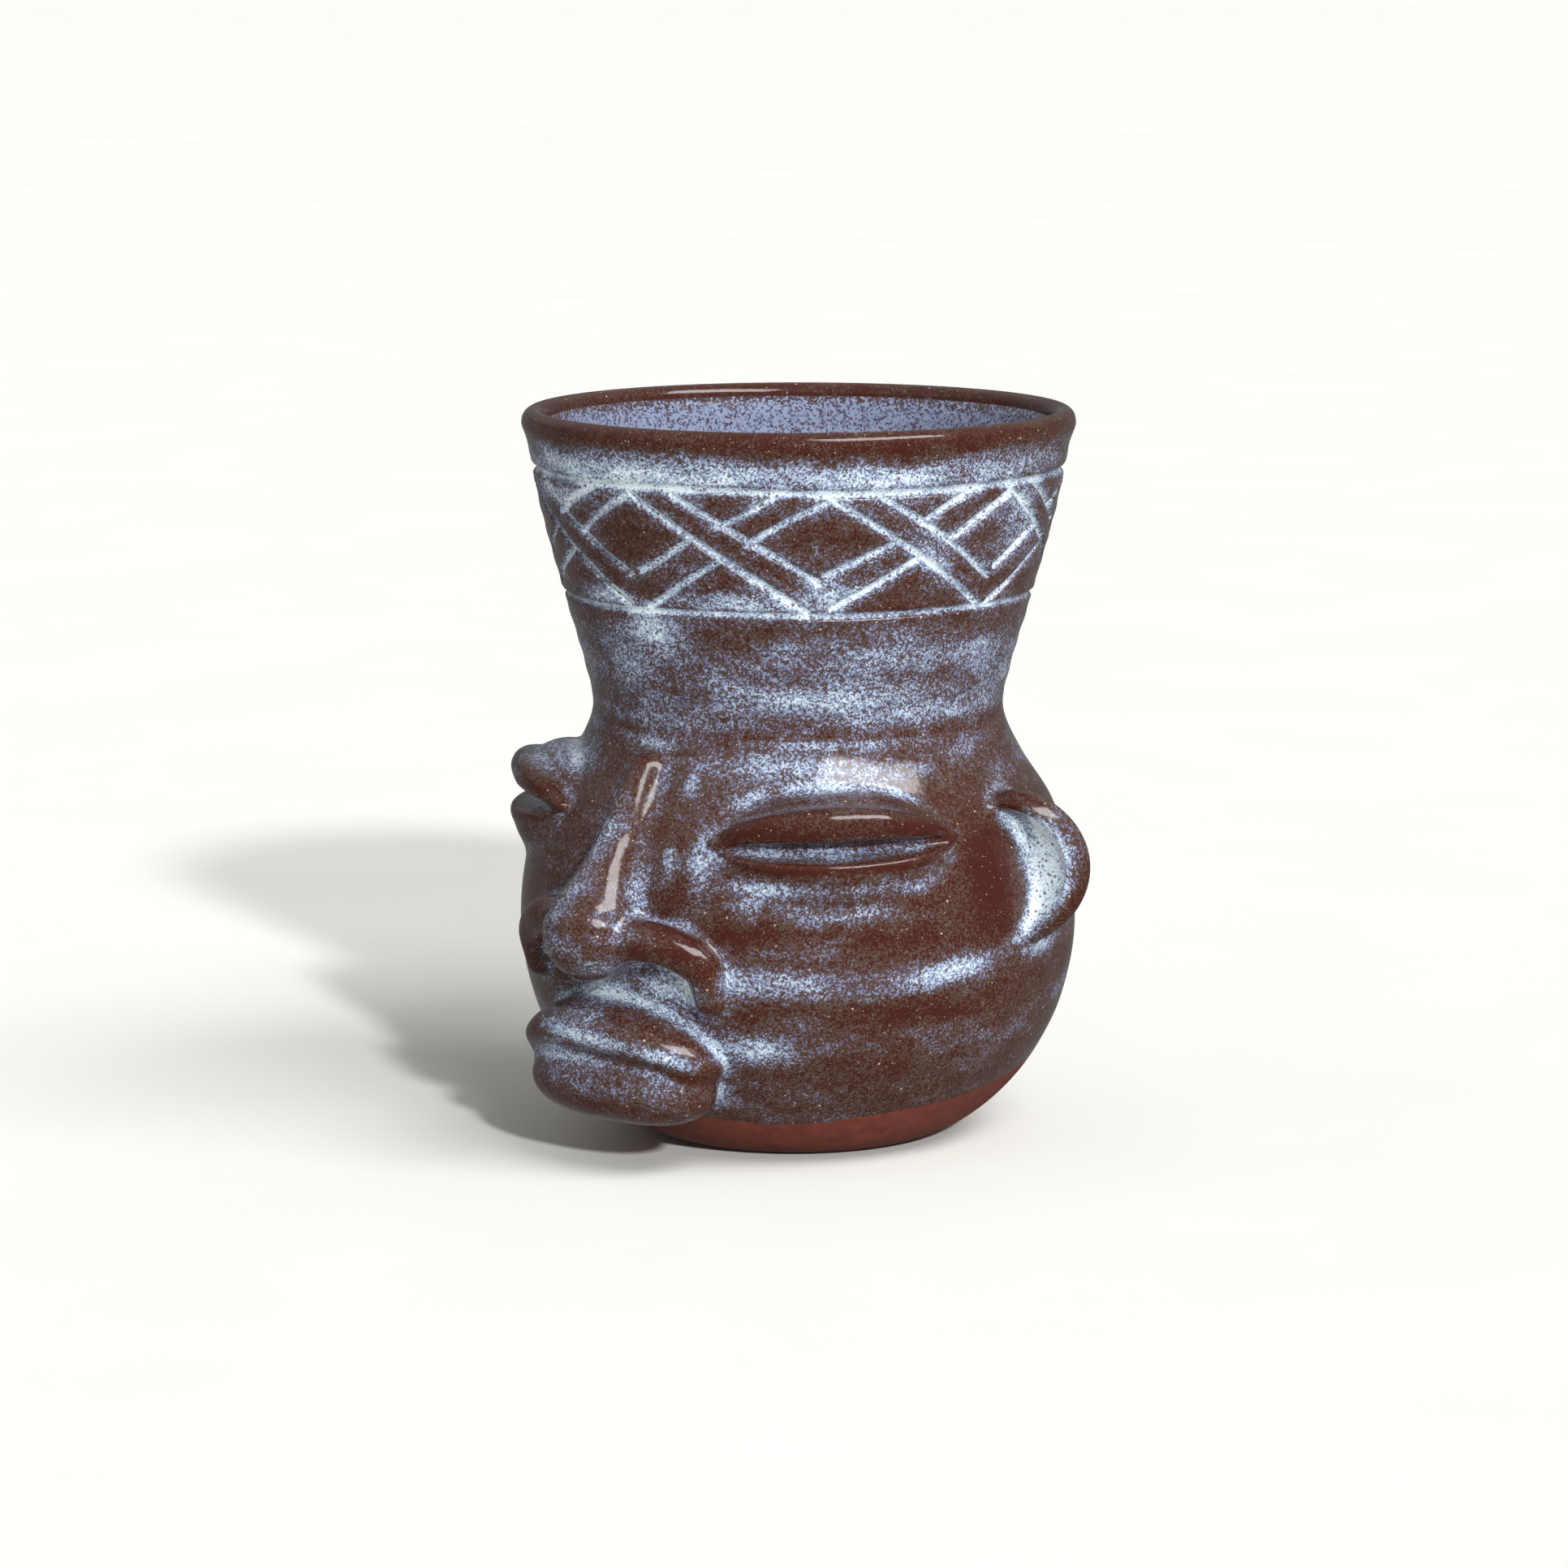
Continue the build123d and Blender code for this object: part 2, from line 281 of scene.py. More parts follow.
FAR = 99.0             # a distance that is never the nearest
LABELS = ["head_bowl", "nose", "nostril_coil", "upper_lid", "lower_lid", "upper_lip", "lower_lip", "ear"]


def head_field(p, with_label=False):
    """Distance to the modelled head, negative inside the clay, and the lump that is nearest."""
    q = mirrored(p)
    eye = mirrored(p, EYE_HIGHER)
    parts = {
        "head_bowl": thrown_bowl(p),
        "nose": nose(p),
        "nostril_coil": nostril_coil(mirrored(p, NOSTRIL_HIGHER)),
        "upper_lid": upper_lid(eye),
        "lower_lid": lower_lid(eye),
        "upper_lip": upper_lip(p),
        "lower_lip": lower_lip(p),
        "ear": ear_cup(q),
    }
    ball = eyeball(eye)
    slit = eye_slit(eye)
    f = blend_union(parts["head_bowl"], parts["nose"], 3.0)
    f = blend_union(f, ball, 1.6)
    f = blend_union(f, parts["upper_lid"], 1.2)
    f = blend_union(f, parts["lower_lid"], 0.9)
    f = blend_cut(f, slit, 0.7)
    f = blend_union(f, parts["nostril_coil"], 1.6)
    f = blend_cut(f, under_nostril(q), 1.6)
    corner = smoothstep(15.0, 22.0, np.abs(azimuth_of(p)))
    mouth = blend_union(parts["upper_lip"], parts["lower_lip"], 1.7 + 2.4 * corner)
    f = blend_union(f, mouth, 1.0)
    f = blend_union(f, parts["ear"], 1.6)
    if not with_label:
        return f
    above = eye[..., 2] > EYE_Z
    lid_ball = np.minimum(ball, slit + 6.0)
    parts["upper_lid"] = np.minimum(parts["upper_lid"], np.where(above, lid_ball, FAR))
    parts["lower_lid"] = np.minimum(parts["lower_lid"], np.where(above, FAR, lid_ball))
    parts["head_bowl"] = parts["head_bowl"] - 0.25
    stack = np.stack([parts[name] for name in LABELS], -1)
    return f, stack.argmin(-1)


def gradient(field, p, step=0.05):
    """The direction in which the field grows fastest, as long as it grows fast."""
    g = np.empty_like(p)
    for axis, d in enumerate(np.eye(3) * step):
        g[..., axis] = (field(p + d) - field(p - d)) / (2 * step)
    return g


# ---- the field as a mesh -----------------------------------------------------------------------
def sampled(field, low, high, cell, block=8):
    """The field on a grid.  A block far from the surface has one value, its middle's."""
    counts = (np.ceil((high - low) / (cell * block)).astype(int)) * block
    middle = np.stack(np.meshgrid(*[np.arange(c // block) for c in counts], indexing="ij"), -1) + 0.5
    at_middle = field(low + middle * block * cell)
    grid = np.repeat(np.repeat(np.repeat(at_middle, block, 0), block, 1), block, 2).astype(np.float32)
    offsets = np.stack(np.meshgrid(*[np.arange(block)] * 3, indexing="ij"), -1).reshape(-1, 3)
    busy = np.argwhere(np.abs(at_middle) < cell * block * 1.35 + 0.6)
    for part in np.array_split(busy, max(1, len(busy) // 1200)):
        index = part[:, None, :] * block + offsets[None]
        values = field(low + index * cell)
        grid[index[..., 0], index[..., 1], index[..., 2]] = values
    return grid


def surface_net(grid, low, cell):
    """Quads round every grid edge that crosses the surface, one vertex for each crossed cell."""
    inside = grid < 0
    nx, ny, nz = (n - 1 for n in grid.shape)
    corners = [(i, j, k) for i in (0, 1) for j in (0, 1) for k in (0, 1)]

    def shifted(a, c):
        return a[c[0]:c[0] + nx, c[1]:c[1] + ny, c[2]:c[2] + nz]

    total = sum(shifted(inside, c).astype(np.int8) for c in corners)
    cells = np.argwhere((total > 0) & (total < 8))
    number = np.full((nx, ny, nz), -1, np.int64)
    number[cells[:, 0], cells[:, 1], cells[:, 2]] = np.arange(len(cells))
    value = {c: grid[cells[:, 0] + c[0], cells[:, 1] + c[1], cells[:, 2] + c[2]] for c in corners}
    place = np.zeros((len(cells), 3))
    hits = np.zeros(len(cells))
    for a in corners:
        for axis in range(3):
            if a[axis]:
                continue
            b = tuple(v + (i == axis) for i, v in enumerate(a))
            crossed = (value[a] < 0) != (value[b] < 0)
            share = value[a][crossed] / (value[a][crossed] - value[b][crossed])
            point = np.repeat(np.array([a], float), crossed.sum(), 0)
            point[:, axis] += share
            place[crossed] += point
            hits[crossed] += 1
    verts = low + (cells + place / hits[:, None]) * cell
    quads = []
    for axis in range(3):
        u, v = (axis + 1) % 3, (axis + 2) % 3
        size = [nx, ny, nz]
        size[u] -= 1
        size[v] -= 1
        start = [0, 0, 0]
        start[u] = start[v] = 1
        after = list(start)
        after[axis] += 1
        a, b = (inside[tuple(slice(o, o + n) for o, n in zip(first, size))] for first in (start, after))
        for flag in (True, False):
            edge = np.argwhere((a == flag) & (b != flag)) + start
            ring = []
            for du, dv in ((0, 0), (-1, 0), (-1, -1), (0, -1)):
                c = edge.copy()
                c[:, u] += du
                c[:, v] += dv
                ring.append(number[c[:, 0], c[:, 1], c[:, 2]])
            ring = np.stack(ring, 1)
            quads.append(ring if flag else ring[:, ::-1])
    quads = np.concatenate(quads)
    return verts, quads[(quads >= 0).all(1)]


def neighbours_mean(verts, quads):
    """The mean of each vertex's neighbours along the quads' edges."""
    total = np.zeros_like(verts)
    count = np.zeros(len(verts))
    for i in range(4):
        a, b = quads[:, i], quads[:, (i + 1) % 4]
        for here, there in ((a, b), (b, a)):
            for axis in range(3):
                total[:, axis] += np.bincount(here, verts[there, axis], len(verts))
            count += np.bincount(here, minlength=len(verts))
    return total / np.maximum(count, 1)[:, None]


def onto_surface(field, verts, rounds=3):
    """The points moved along the gradient until the field is nought there."""
    for _ in range(rounds):
        g = gradient(field, verts)
        verts = verts - (field(verts) / np.maximum((g * g).sum(-1), 0.15))[:, None] * g
    return verts


# ---- dividing the mesh into the potter's pieces ------------------------------------------------
CUSHION = 1.3          # how deep, under the bowl's own surface, a luted piece is bedded


def edge_ends(faces):
    """Where every directed edge of the faces starts, and where it ends."""
    return faces.ravel(), np.roll(faces, -1, axis=1).ravel()


def edge_pairs(quads, count):
    """For every edge that two faces share: the two faces."""
    a, b = edge_ends(quads)
    key = np.minimum(a, b) * count + np.maximum(a, b)
    face = np.repeat(np.arange(len(quads)), quads.shape[1])
    order = np.argsort(key, kind="stable")
    same = key[order][1:] == key[order][:-1]
    return face[order][:-1][same], face[order][1:][same]


def components(labels, left, right):
    """A number for every connected patch of faces that have the same label."""
    joined = labels[left] == labels[right]
    a, b = left[joined], right[joined]
    parent = np.arange(len(labels))
    while True:
        low = np.minimum(parent[a], parent[b])
        new = parent.copy()
        np.minimum.at(new, parent[a], low)
        np.minimum.at(new, parent[b], low)
        new = new[new]
        if (new == parent).all():
            return parent
        parent = new


def tidy_labels(labels, quads, count):
    """One patch for each label, with no islands, spikes or corners that only touch."""
    left, right = edge_pairs(quads, count)
    kinds = labels.max() + 1
    for _ in range(40):
        before = labels.copy()
        votes = np.zeros((len(labels), kinds), np.int8)
        np.add.at(votes, (left, labels[right]), 1)
        np.add.at(votes, (right, labels[left]), 1)
        best = votes.argmax(1)
        labels = np.where(votes.max(1) >= 3, best, labels)
        comp = components(labels, left, right)
        size = np.bincount(comp, minlength=len(labels))
        for kind in range(kinds):
            mine = labels == kind
            if not mine.any():
                continue
            largest = comp[mine][size[comp[mine]].argmax()]
            stray = mine & (comp != largest)
            votes[:, kind] = 0
            labels = np.where(stray & (votes.max(1) > 0), votes.argmax(1), labels)
        labels = join_touching(labels, quads, count)
        if (labels == before).all():
            break
    return labels


def join_touching(labels, quads, count):
    """Where a patch touches itself at one corner only, the faces round the corner join it."""
    a, b = edge_ends(quads)
    key = a * count + b
    back = b * count + a
    order = np.argsort(key)
    found = np.searchsorted(key[order], back)
    twin = order[np.clip(found, 0, len(key) - 1)]
    has_twin = key[twin] == back
    face = np.repeat(np.arange(len(quads)), 4)
    border = ~has_twin | (labels[face] != labels[face[twin]])
    for kind in np.unique(labels):
        mine = border & (labels[face] == kind)
        leaving = np.bincount(a[mine], minlength=count)
        bad = np.flatnonzero(leaving > 1)
        if len(bad):
            touch = np.isin(quads, bad).any(1)
            labels = np.where(touch, kind, labels)
    return labels


def border_edges(faces):
    """Directed edges of a patch that no other face of the patch shares."""
    a, b = edge_ends(faces)
    big = faces.max() + 1
    key, back = a * big + b, b * big + a
    lone = ~np.isin(key, back)
    return np.stack([a[lone], b[lone]], 1)


def loops_of(edges):
    """Closed chains of directed edges."""
    following = {int(a): int(b) for a, b in edges}
    chains = []
    while following:
        start = next(iter(following))
        chain, here = [], start
        while here in following:
            chain.append(here)
            here = following.pop(here)
        chains.append(chain)
    return chains


def inside_polygon(points, ring):
    """Which points lie inside a closed ring, both in the plane."""
    a, b = ring, np.roll(ring, -1, axis=0)
    x, y = points[:, 0][:, None], points[:, 1][:, None]
    spans = (a[:, 1] > y) != (b[:, 1] > y)
    rise = np.where(b[:, 1] == a[:, 1], 1e-9, b[:, 1] - a[:, 1])
    cross = (b[:, 0] - a[:, 0]) * (y - a[:, 1]) / rise + a[:, 0]
    return ((spans & (x < cross)).sum(1) % 2) == 1


def unrolled(points):
    """Arc length round the head and height, for points near its surface."""
    return np.stack([np.radians(azimuth_of(points)) * HEAD_RADIUS, points[:, 2]], 1)


def on_bed(flat):
    """Points of the bed, just under the bowl's surface, from arc length and height."""
    angle = flat[:, 0] / HEAD_RADIUS
    radius = wall_radius(flat[:, 1]) - CUSHION
    return np.stack([radius * np.sin(angle), -radius * np.cos(angle), flat[:, 1]], 1)


def filled(ring, spots):
    """A flat ring filled with triangles over its own corners and some spots inside it."""
    flat = [Vector(q) for q in np.concatenate([ring, spots])]
    border = [(i, (i + 1) % len(ring)) for i in range(len(ring))]
    made = delaunay_2d_cdt(flat, border, [], 1, 1e-7)
    return made if len(made[0]) == len(flat) else None


def bed_rings(points, chains):
    """Flat places on the bed for the rings of all luted pieces, evened out until none crosses itself."""
    verts = np.unique(np.concatenate(chains))
    place = np.full(verts.max() + 1, -1)
    place[verts] = np.arange(len(verts))
    rings = [place[chain] for chain in chains]
    pairs = np.concatenate([np.stack([r, np.roll(r, -1)], 1) for r in rings])
    pairs = np.unique(np.sort(pairs, 1), axis=0)
    flat = unrolled(points[verts])
    for _ in range(30):
        if all(filled(flat[r], np.zeros((0, 2))) for r in rings):
            return verts, flat
        for _ in range(4):
            total, count = np.zeros_like(flat), np.zeros(len(flat))
            for here, there in (pairs.T, pairs.T[::-1]):
                np.add.at(total, here, flat[there])
                np.add.at(count, here, 1)
            flat = 0.5 * flat + 0.5 * total / count[:, None]
    raise ValueError("the ring of a luted piece crosses itself")


def bed_triangles(ring):
    """Points for the middle of a flat ring, and triangles facing inward that fill it."""
    low, high = ring.min(0), ring.max(0)
    axes = [np.arange(l + 1.2, h - 0.8, 2.4) for l, h in zip(low, high)]
    spots = np.stack(np.meshgrid(*axes, indexing="ij"), -1).reshape(-1, 2)
    spots = spots[inside_polygon(spots, ring)]
    spots = np.array([s for s in spots if np.hypot(*(ring - s).T).min() > 1.0]).reshape(-1, 2)
    made = filled(ring, spots)
    back = [old[0] for old in made[3]]
    flat = np.concatenate([ring, spots])
    triangles = []
    for tri in made[2]:
        i, j, k = (back[n] for n in tri)
        (ax, ay), (bx, by), (cx, cy) = flat[i], flat[j], flat[k]
        turn = (bx - ax) * (cy - ay) - (by - ay) * (cx - ax)
        triangles.append((i, k, j) if turn > 0 else (i, j, k))
    return on_bed(spots), triangles


def zipped(outer, inner, points):
    """Triangles facing up between two closed rings of point numbers, both anticlockwise from above."""
    def unwound(ring):
        return np.unwrap(np.arctan2(points[ring, 1], points[ring, 0]))

    a = list(outer) + [outer[0]]
    angle_a = unwound(a)
    gap = np.abs(np.exp(1j * unwound(inner)) - np.exp(1j * angle_a[0]))
    start = int(gap.argmin())
    b = list(inner[start:]) + list(inner[:start + 1])
    angle_b = unwound(b)
    angle_b += 2 * math.pi * round((angle_a[0] - angle_b[0]) / (2 * math.pi))
    triangles, i, j = [], 0, 0
    while i < len(a) - 1 or j < len(b) - 1:
        if j == len(b) - 1 or (i < len(a) - 1 and angle_a[i + 1] <= angle_b[j + 1]):
            triangles.append((a[i], a[i + 1], b[j]))
            i += 1
        else:
            triangles.append((a[i], b[j + 1], b[j]))
            j += 1
    return triangles


# ---- where the glaze lies ----------------------------------------------------------------------
def glaze_line(azimuth):
    """Height that the glaze stops at above the foot: dipped a little askew, so higher behind."""
    a = np.radians(azimuth)
    return 12.4 - 4.2 * np.cos(a - 0.35) + 0.5 * np.sin(2.3 + 3 * a) + 0.25 * np.sin(7 * a)


# Thick runs of glaze as (azimuth, height, half width in degrees, half height, slope, strength).
# The slope is how far the run climbs, in millimetres, for every degree to the left side.
RUNS = [
    # rim and carved band
    (5, 117.4, 48, 3.2, 0, 1.05), (-70, 118, 26, 2.4, 0, 0.6), (84, 117.6, 34, 2.8, 0.02, 0.66),
    (60, 116.8, 30, 2.6, 0, 0.95), (150, 118.4, 30, 2.2, 0, 0.85), (-142, 118, 34, 2.2, 0, 0.75),
    (-22, 113, 13, 2.2, 0, 0.75), (27, 96.4, 13, 1.8, 0, 0.9), (-12, 95.8, 9, 2, 0, 0.75),
    (48, 98, 9, 3, 0, 0.55), (98, 108, 9, 6, 0, 0.6), (72, 104, 6, 4, -0.2, 0.45),
    # neck and waist
    (0, 71.5, 30, 1.8, 0, 0.34), (50, 71.8, 34, 1.6, 0, 0.4), (-60, 71.8, 40, 1.6, 0, 0.4),
    (3, 91, 9, 3.6, 0, 0.85), (-6, 88, 5, 3, 0, 0.45), (98, 87, 14, 1.6, 0, 0.45),
    (60, 86, 34, 3.4, 0.01, 0.36), (46, 79.5, 30, 2.7, 0.02, 0.62), (28, 80, 15, 3.5, 0, 0.4),
    (75, 76, 26, 3, 0.02, 0.5), (-50, 84, 26, 5, 0.03, 0.34), (-9, 83.5, 14, 6, 0, 0.36),
    (140, 82, 44, 5.5, 0, 0.45), (-130, 80, 40, 5, 0, 0.42), (0, 74.5, 28, 2, 0, 0.34),
    # brows and upper lids
    (38, 68.4, 22, 2.3, 0, 0.66), (64, 67.6, 17, 2, -0.02, 0.54), (30, 63.6, 6, 1.7, 0.3, 0.62),
    (47, 65.6, 14, 1.4, 0, 0.66), (67, 63.6, 7, 1.1, -0.32, 0.6), (-47, 67.6, 18, 2.2, 0, 0.75),
    (-40, 62.8, 10, 1.6, 0, 0.55), (50, 61.2, 20, 2, 0, 0.28), (-50, 63.4, 20, 2, 0, 0.36),
    (90, 69, 12, 2.2, 0.1, 0.35), (-36, 66.5, 16, 3.2, 0, 0.62), (-74, 67, 16, 2.6, 0, 0.5),
    (150, 66, 34, 3, 0, 0.55), (14.5, 65.5, 2.2, 2.6, 0, 0.72),
    # cheeks, lower lids and ears
    (98, 56, 5, 10, 0, 0.46), (50, 52.2, 18, 1.2, 0, 0.28), (36, 49.6, 11, 1.6, 0.02, 0.74),
    (31, 46.4, 4, 2.6, 0, 0.6), (58, 49.6, 12, 1.5, 0.04, 0.46), (50, 45.2, 14, 1.6, -0.02, 0.42),
    (44, 39.6, 14, 2.4, 0, 0.36), (-60, 48, 16, 2.2, 0, 0.5), (150, 44, 34, 4, 0, 0.55),
    (178, 56, 26, 3.2, 0, 0.5),
    # nose and nostrils
    (0, 55, 3.6, 10, 0, 0.66), (-3, 42, 6, 6, 0, 0.6), (5, 36.5, 5, 2.4, 0, 0.5),
    (6, 45, 2.5, 5, 0, 0.45), (10, 41.6, 6, 1.2, 0, 0.5), (17, 32, 9, 3.4, 0, 0.75),
    (21, 53, 3.6, 6.5, 0, 0.72), (13.5, 53, 1.7, 4.4, 0, 0.62),
    # lips
    (3, 26.2, 8, 1.6, -0.1, 0.5), (1, 24, 12, 1.9, -0.1, 1.1), (17, 21.6, 7, 1.6, -0.28, 1),
    (-7, 22, 6, 1.4, 0.2, 0.6), (0, 27.6, 9, 1.3, 0, 0.4), (5, 16, 24, 3.2, -0.1, 0.36),
    (4, 30.2, 12, 1.6, 0, 0.6),
    # jaw
    (74, 34.6, 15, 2.2, 0.12, 1), (38, 34.2, 12, 2.8, 0, 0.8), (56, 32.6, 12, 1.5, 0, 0.34),
    (103, 37.5, 9, 2.6, 0.12, 0.75), (44, 27.2, 13, 2, 0.04, 0.44), (34, 22.2, 9, 3, 0.06, 0.84),
    (70, 25, 14, 2, 0, 0.28), (88, 22, 20, 1.5, 0, 0.25), (-45, 34, 16, 2.6, -0.06, 0.72),
    (-88, 37, 24, 2.6, -0.05, 0.66), (-38, 22, 10, 3, 0, 0.6), (-150, 34, 36, 3.6, 0, 0.55),
    (130, 28, 24, 2.4, 0.05, 0.5), (-120, 24, 20, 2, 0, 0.4),
]


# Places where it has been wiped or has drained thin, in the same way, and places where shade is painted in
# as thin dark glaze: the upper half of the eye slit under the upper lid, and the crease under the upper
# lip.
THIN_GLAZE_AND_SHADE = [
    # brows and upper lids
    (50, 60.6, 23, 1.7, 0, 0.4), (-50, 63, 23, 1.3, 0, 0.3),
    # cheeks, lower lids and ears
    # painted shadow: the first entry below darkens the upper half of the eye slit, where the upper lid
    # shades it
    (48, 56.9, 22, 0.8, 0.01, 0.9), (50, 52.6, 22, 1.1, 0, 0.3), (86, 50, 7, 10, 0, 1),
    (26, 42, 12, 3.2, 0, 0.6), (70, 60, 10, 4, 0, 0.5), (60, 41, 14, 1.6, 0, 0.5),
    # nose and nostrils
    (14, 46, 4, 3, 0, 0.5),
    # lips
    # painted shade: the first two entries darken the crease under the upper lip, where its overhang shades
    # it
    (5, 20.4, 12, 0.9, -0.08, 1), (17, 18.8, 6, 0.9, -0.25, 1), (8, 12, 12, 1.6, 0, 0.4),
    # jaw
    (60, 28, 30, 2, 0, 0.6),
]


def brushed(p, strokes):
    """Soft patches on the wall: the strongest one at each point."""
    azimuth, z = azimuth_of(p), p[..., 2]
    total = np.zeros(len(p))
    for centre, height, half_width, half_height, slope, strength in strokes:
        along = (azimuth - centre + 180.0) % 360.0 - 180.0
        across = z - height - slope * along
        reach = (along / half_width) ** 2 + (across / half_height) ** 2
        total = np.maximum(total, strength * np.exp(-0.9 * reach))
    return total


def hollowness(field, p, distance):
    """Positive in hollows and negative on crests, from the field at a distance all round."""
    total = np.zeros(len(p))
    for d in np.eye(3) * distance:
        total += field(p - d)
        total += field(p + d)
    return -total / (6 * distance)


def head_glaze_and_shade(p):
    """Thickness of glaze on the head: 0 thin and brown, 1 thick and pale, lowered where shade is painted
    into the eye slit and the lip crease.
    """
    fine = hollowness(head_field, p, 1.1)
    broad = hollowness(head_field, p, 3.0)
    level = 0.13 + 0.60 * brushed(p, RUNS)
    level += np.minimum(1.3 * np.clip(broad + 0.02, 0, 0.3) + 0.9 * np.clip(fine, 0, 0.25), 0.42)
    # the thin patches also paint shade into the eye slit and the crease under the upper lip
    level -= 0.9 * np.clip(-broad - 0.08, 0, 0.30) + 0.4 * brushed(p, THIN_GLAZE_AND_SHADE)
    ear = ear_place(mirrored(p))
    pool = np.exp(-0.5 * (thumb_mark(ear) / 0.9) ** 2) * smoothstep(1.5, 4.0, ear[:, 0])
    return level + 0.55 * pool * (np.abs(ear[:, 2]) < 12)


# ---- the turned cup ----------------------------------------------------------------------------
BAND_RADIUS = 43.0     # middle radius of the band, at which the strokes are measured
LATTICE_REPEATS = 8
LATTICE_PHASE = 3.0
STROKE_DEPTH, BORDER_DEPTH = 0.85, 0.8


def meeting(first, second):
    """Where two strokes, each from one (azimuth, height) to another, cross."""
    (a0, z0), (a1, z1) = first
    (b0, y0), (b1, y1) = second
    slope_a, slope_b = (z1 - z0) / (a1 - a0), (y1 - y0) / (b1 - b0)
    azimuth = (y0 - z0 + slope_a * a0 - slope_b * b0) / (slope_a - slope_b)
    return azimuth, z0 + slope_a * (azimuth - a0)


def lattice_strokes():
    """The carved strokes of one repeat, each from one (azimuth, height) to another."""
    over_low = ((0.4, 114.2), (40.6, 94.9))
    over_high = ((11.0, 114.4), (42.6, 99.9))
    under_high = ((0.2, 100.9), (34.6, 114.7))
    under_low = ((0.9, 95.2), (44.8, 113.5))
    strokes = [over_low, over_high]
    for start, end in (under_high, under_low):
        strokes.append((start, meeting((start, end), over_low)))
        strokes.append((meeting((start, end), over_high), end))
    return strokes


def stroke_distance(azimuth, z, start, end, bow):
    """Distance on the wall, in millimetres, from a carved stroke with a little bow in it."""
    scale = np.radians(1.0) * BAND_RADIUS
    a = np.array([start[0] * scale, start[1]])
    b = np.array([end[0] * scale, end[1]])
    axis = b - a
    length = np.hypot(*axis)
    along = ((azimuth * scale - a[0]) * axis[0] + (z - a[1]) * axis[1]) / length
    across = ((azimuth * scale - a[0]) * -axis[1] + (z - a[1]) * axis[0]) / length
    share = np.clip(along / length, 0, 1)
    across = across - bow * 4 * share * (1 - share)
    beyond = along - share * length
    return np.hypot(across, beyond)


def carving(azimuth, z):
    """Depth of the carving at a place, and the distance to the nearest carved stroke."""
    rng = np.random.default_rng(7)
    depth = np.zeros(np.broadcast(azimuth, z).shape)
    distance = depth + FAR
    strokes = lattice_strokes()
    for repeat in range(LATTICE_REPEATS):
        for start, end in strokes:
            sway = rng.normal(0, 0.5, 2)
            lift = rng.normal(0, 0.25, 2)
            bow = rng.normal(0, 0.28)
            width = 0.74 + 0.12 * rng.random()
            turn = LATTICE_PHASE + repeat * 360.0 / LATTICE_REPEATS
            here = (azimuth - turn + 157.5) % 360.0 - 157.5
            s = (start[0] + sway[0], start[1] + min(lift[0], 0.3))
            e = (end[0] + sway[1], end[1] + min(lift[1], 0.3))
            near = stroke_distance(here, z, s, e, bow)
            depth = np.maximum(depth, STROKE_DEPTH * (1 - smoothstep(0.05, 1.3 * width, near)))
            distance = np.minimum(distance, near)
    for height, width in ((BAND_BOTTOM, 0.75), (BAND_TOP, 0.8)):
        a = np.radians(azimuth)
        wave = height + 0.22 * np.sin(a * 2 + height) + 0.12 * np.sin(a * 5)
        near = np.abs(z - wave)
        depth = np.maximum(depth, BORDER_DEPTH * (1 - smoothstep(0.1, 1.3 * width, near)))
    return depth, distance


def hand_wobble(azimuth, z):
    """How far a hand-thrown wall strays from round: nothing at the waist, most at the rim."""
    a = np.radians(azimuth)
    grown = np.clip((z - 76.0) / 50.0, 0, 1) ** 1.5
    rings = 0.07 * np.sin(z * 1.35 + 0.5 * np.sin(a)) * smoothstep(74, 78, z)
    return grown * (0.35 * np.cos(2 * a + 0.7) + 0.16 * np.cos(3 * a - 1.1)) + rings


def cup_radius(azimuth, z):
    return wall_radius(z) + hand_wobble(azimuth, z) - carving(azimuth, z)[0]


def cup_glaze(azimuth, z):
    """Thickness of glaze on the cup: pooled in the carving and spilled a little over its edges."""
    depth, distance = carving(azimuth, z)
    p = np.stack([np.sin(np.radians(azimuth)), -np.cos(np.radians(azimuth)), z], -1).reshape(-1, 3)
    level = 0.14 + 0.60 * brushed(p, RUNS).reshape(np.shape(z))
    level = level + 0.42 * np.clip(depth - 0.12, 0, 0.6) / 0.6
    level = level + 0.17 * smoothstep(3.0, 0.6, distance)
    above_waist = smoothstep(98.0, 88.0, z) * smoothstep(73.0, 76.0, z)
    worn_rim = smoothstep(120.6, 122.0, z)
    return level + 0.13 * above_waist - 0.14 * worn_rim


def inner_profile(gap, count):
    """The inside from the floor's middle to just under the rim, pulled in by a gap."""
    low = FLOOR + gap - WALL
    points = [(0.02, low), (12.0, low), (28.0, low + 2.6)]
    points += [(r - gap, z) for r, z in OUTLINE[3:-1]]
    points.append((RIM_RADIUS - gap + 0.05, 122.8))
    return spline_through(points, count)


def clay_inside_radius(z):
    """Inner radius of the clay at a height."""
    profile = inner_profile(WALL - GLAZE_STEP, 900)
    return np.interp(z, profile[:, 1], profile[:, 0])


def full_turn(steps):
    """Azimuths of that many even steps round the axis."""
    return np.arange(steps) * 360.0 / steps


def turned_sheet(radius, height, steps):
    """Points of a turned sheet: rows of radius and height, each a full turn."""
    a = np.radians(full_turn(steps))[None, :]
    radius, height = np.broadcast_arrays(radius, height)
    return np.stack([radius * np.sin(a), -radius * np.cos(a), height + 0 * a], -1)


# ---- objects -----------------------------------------------------------------------------------
HIDDEN_GLAZE = 0.3     # given to faces out of sight


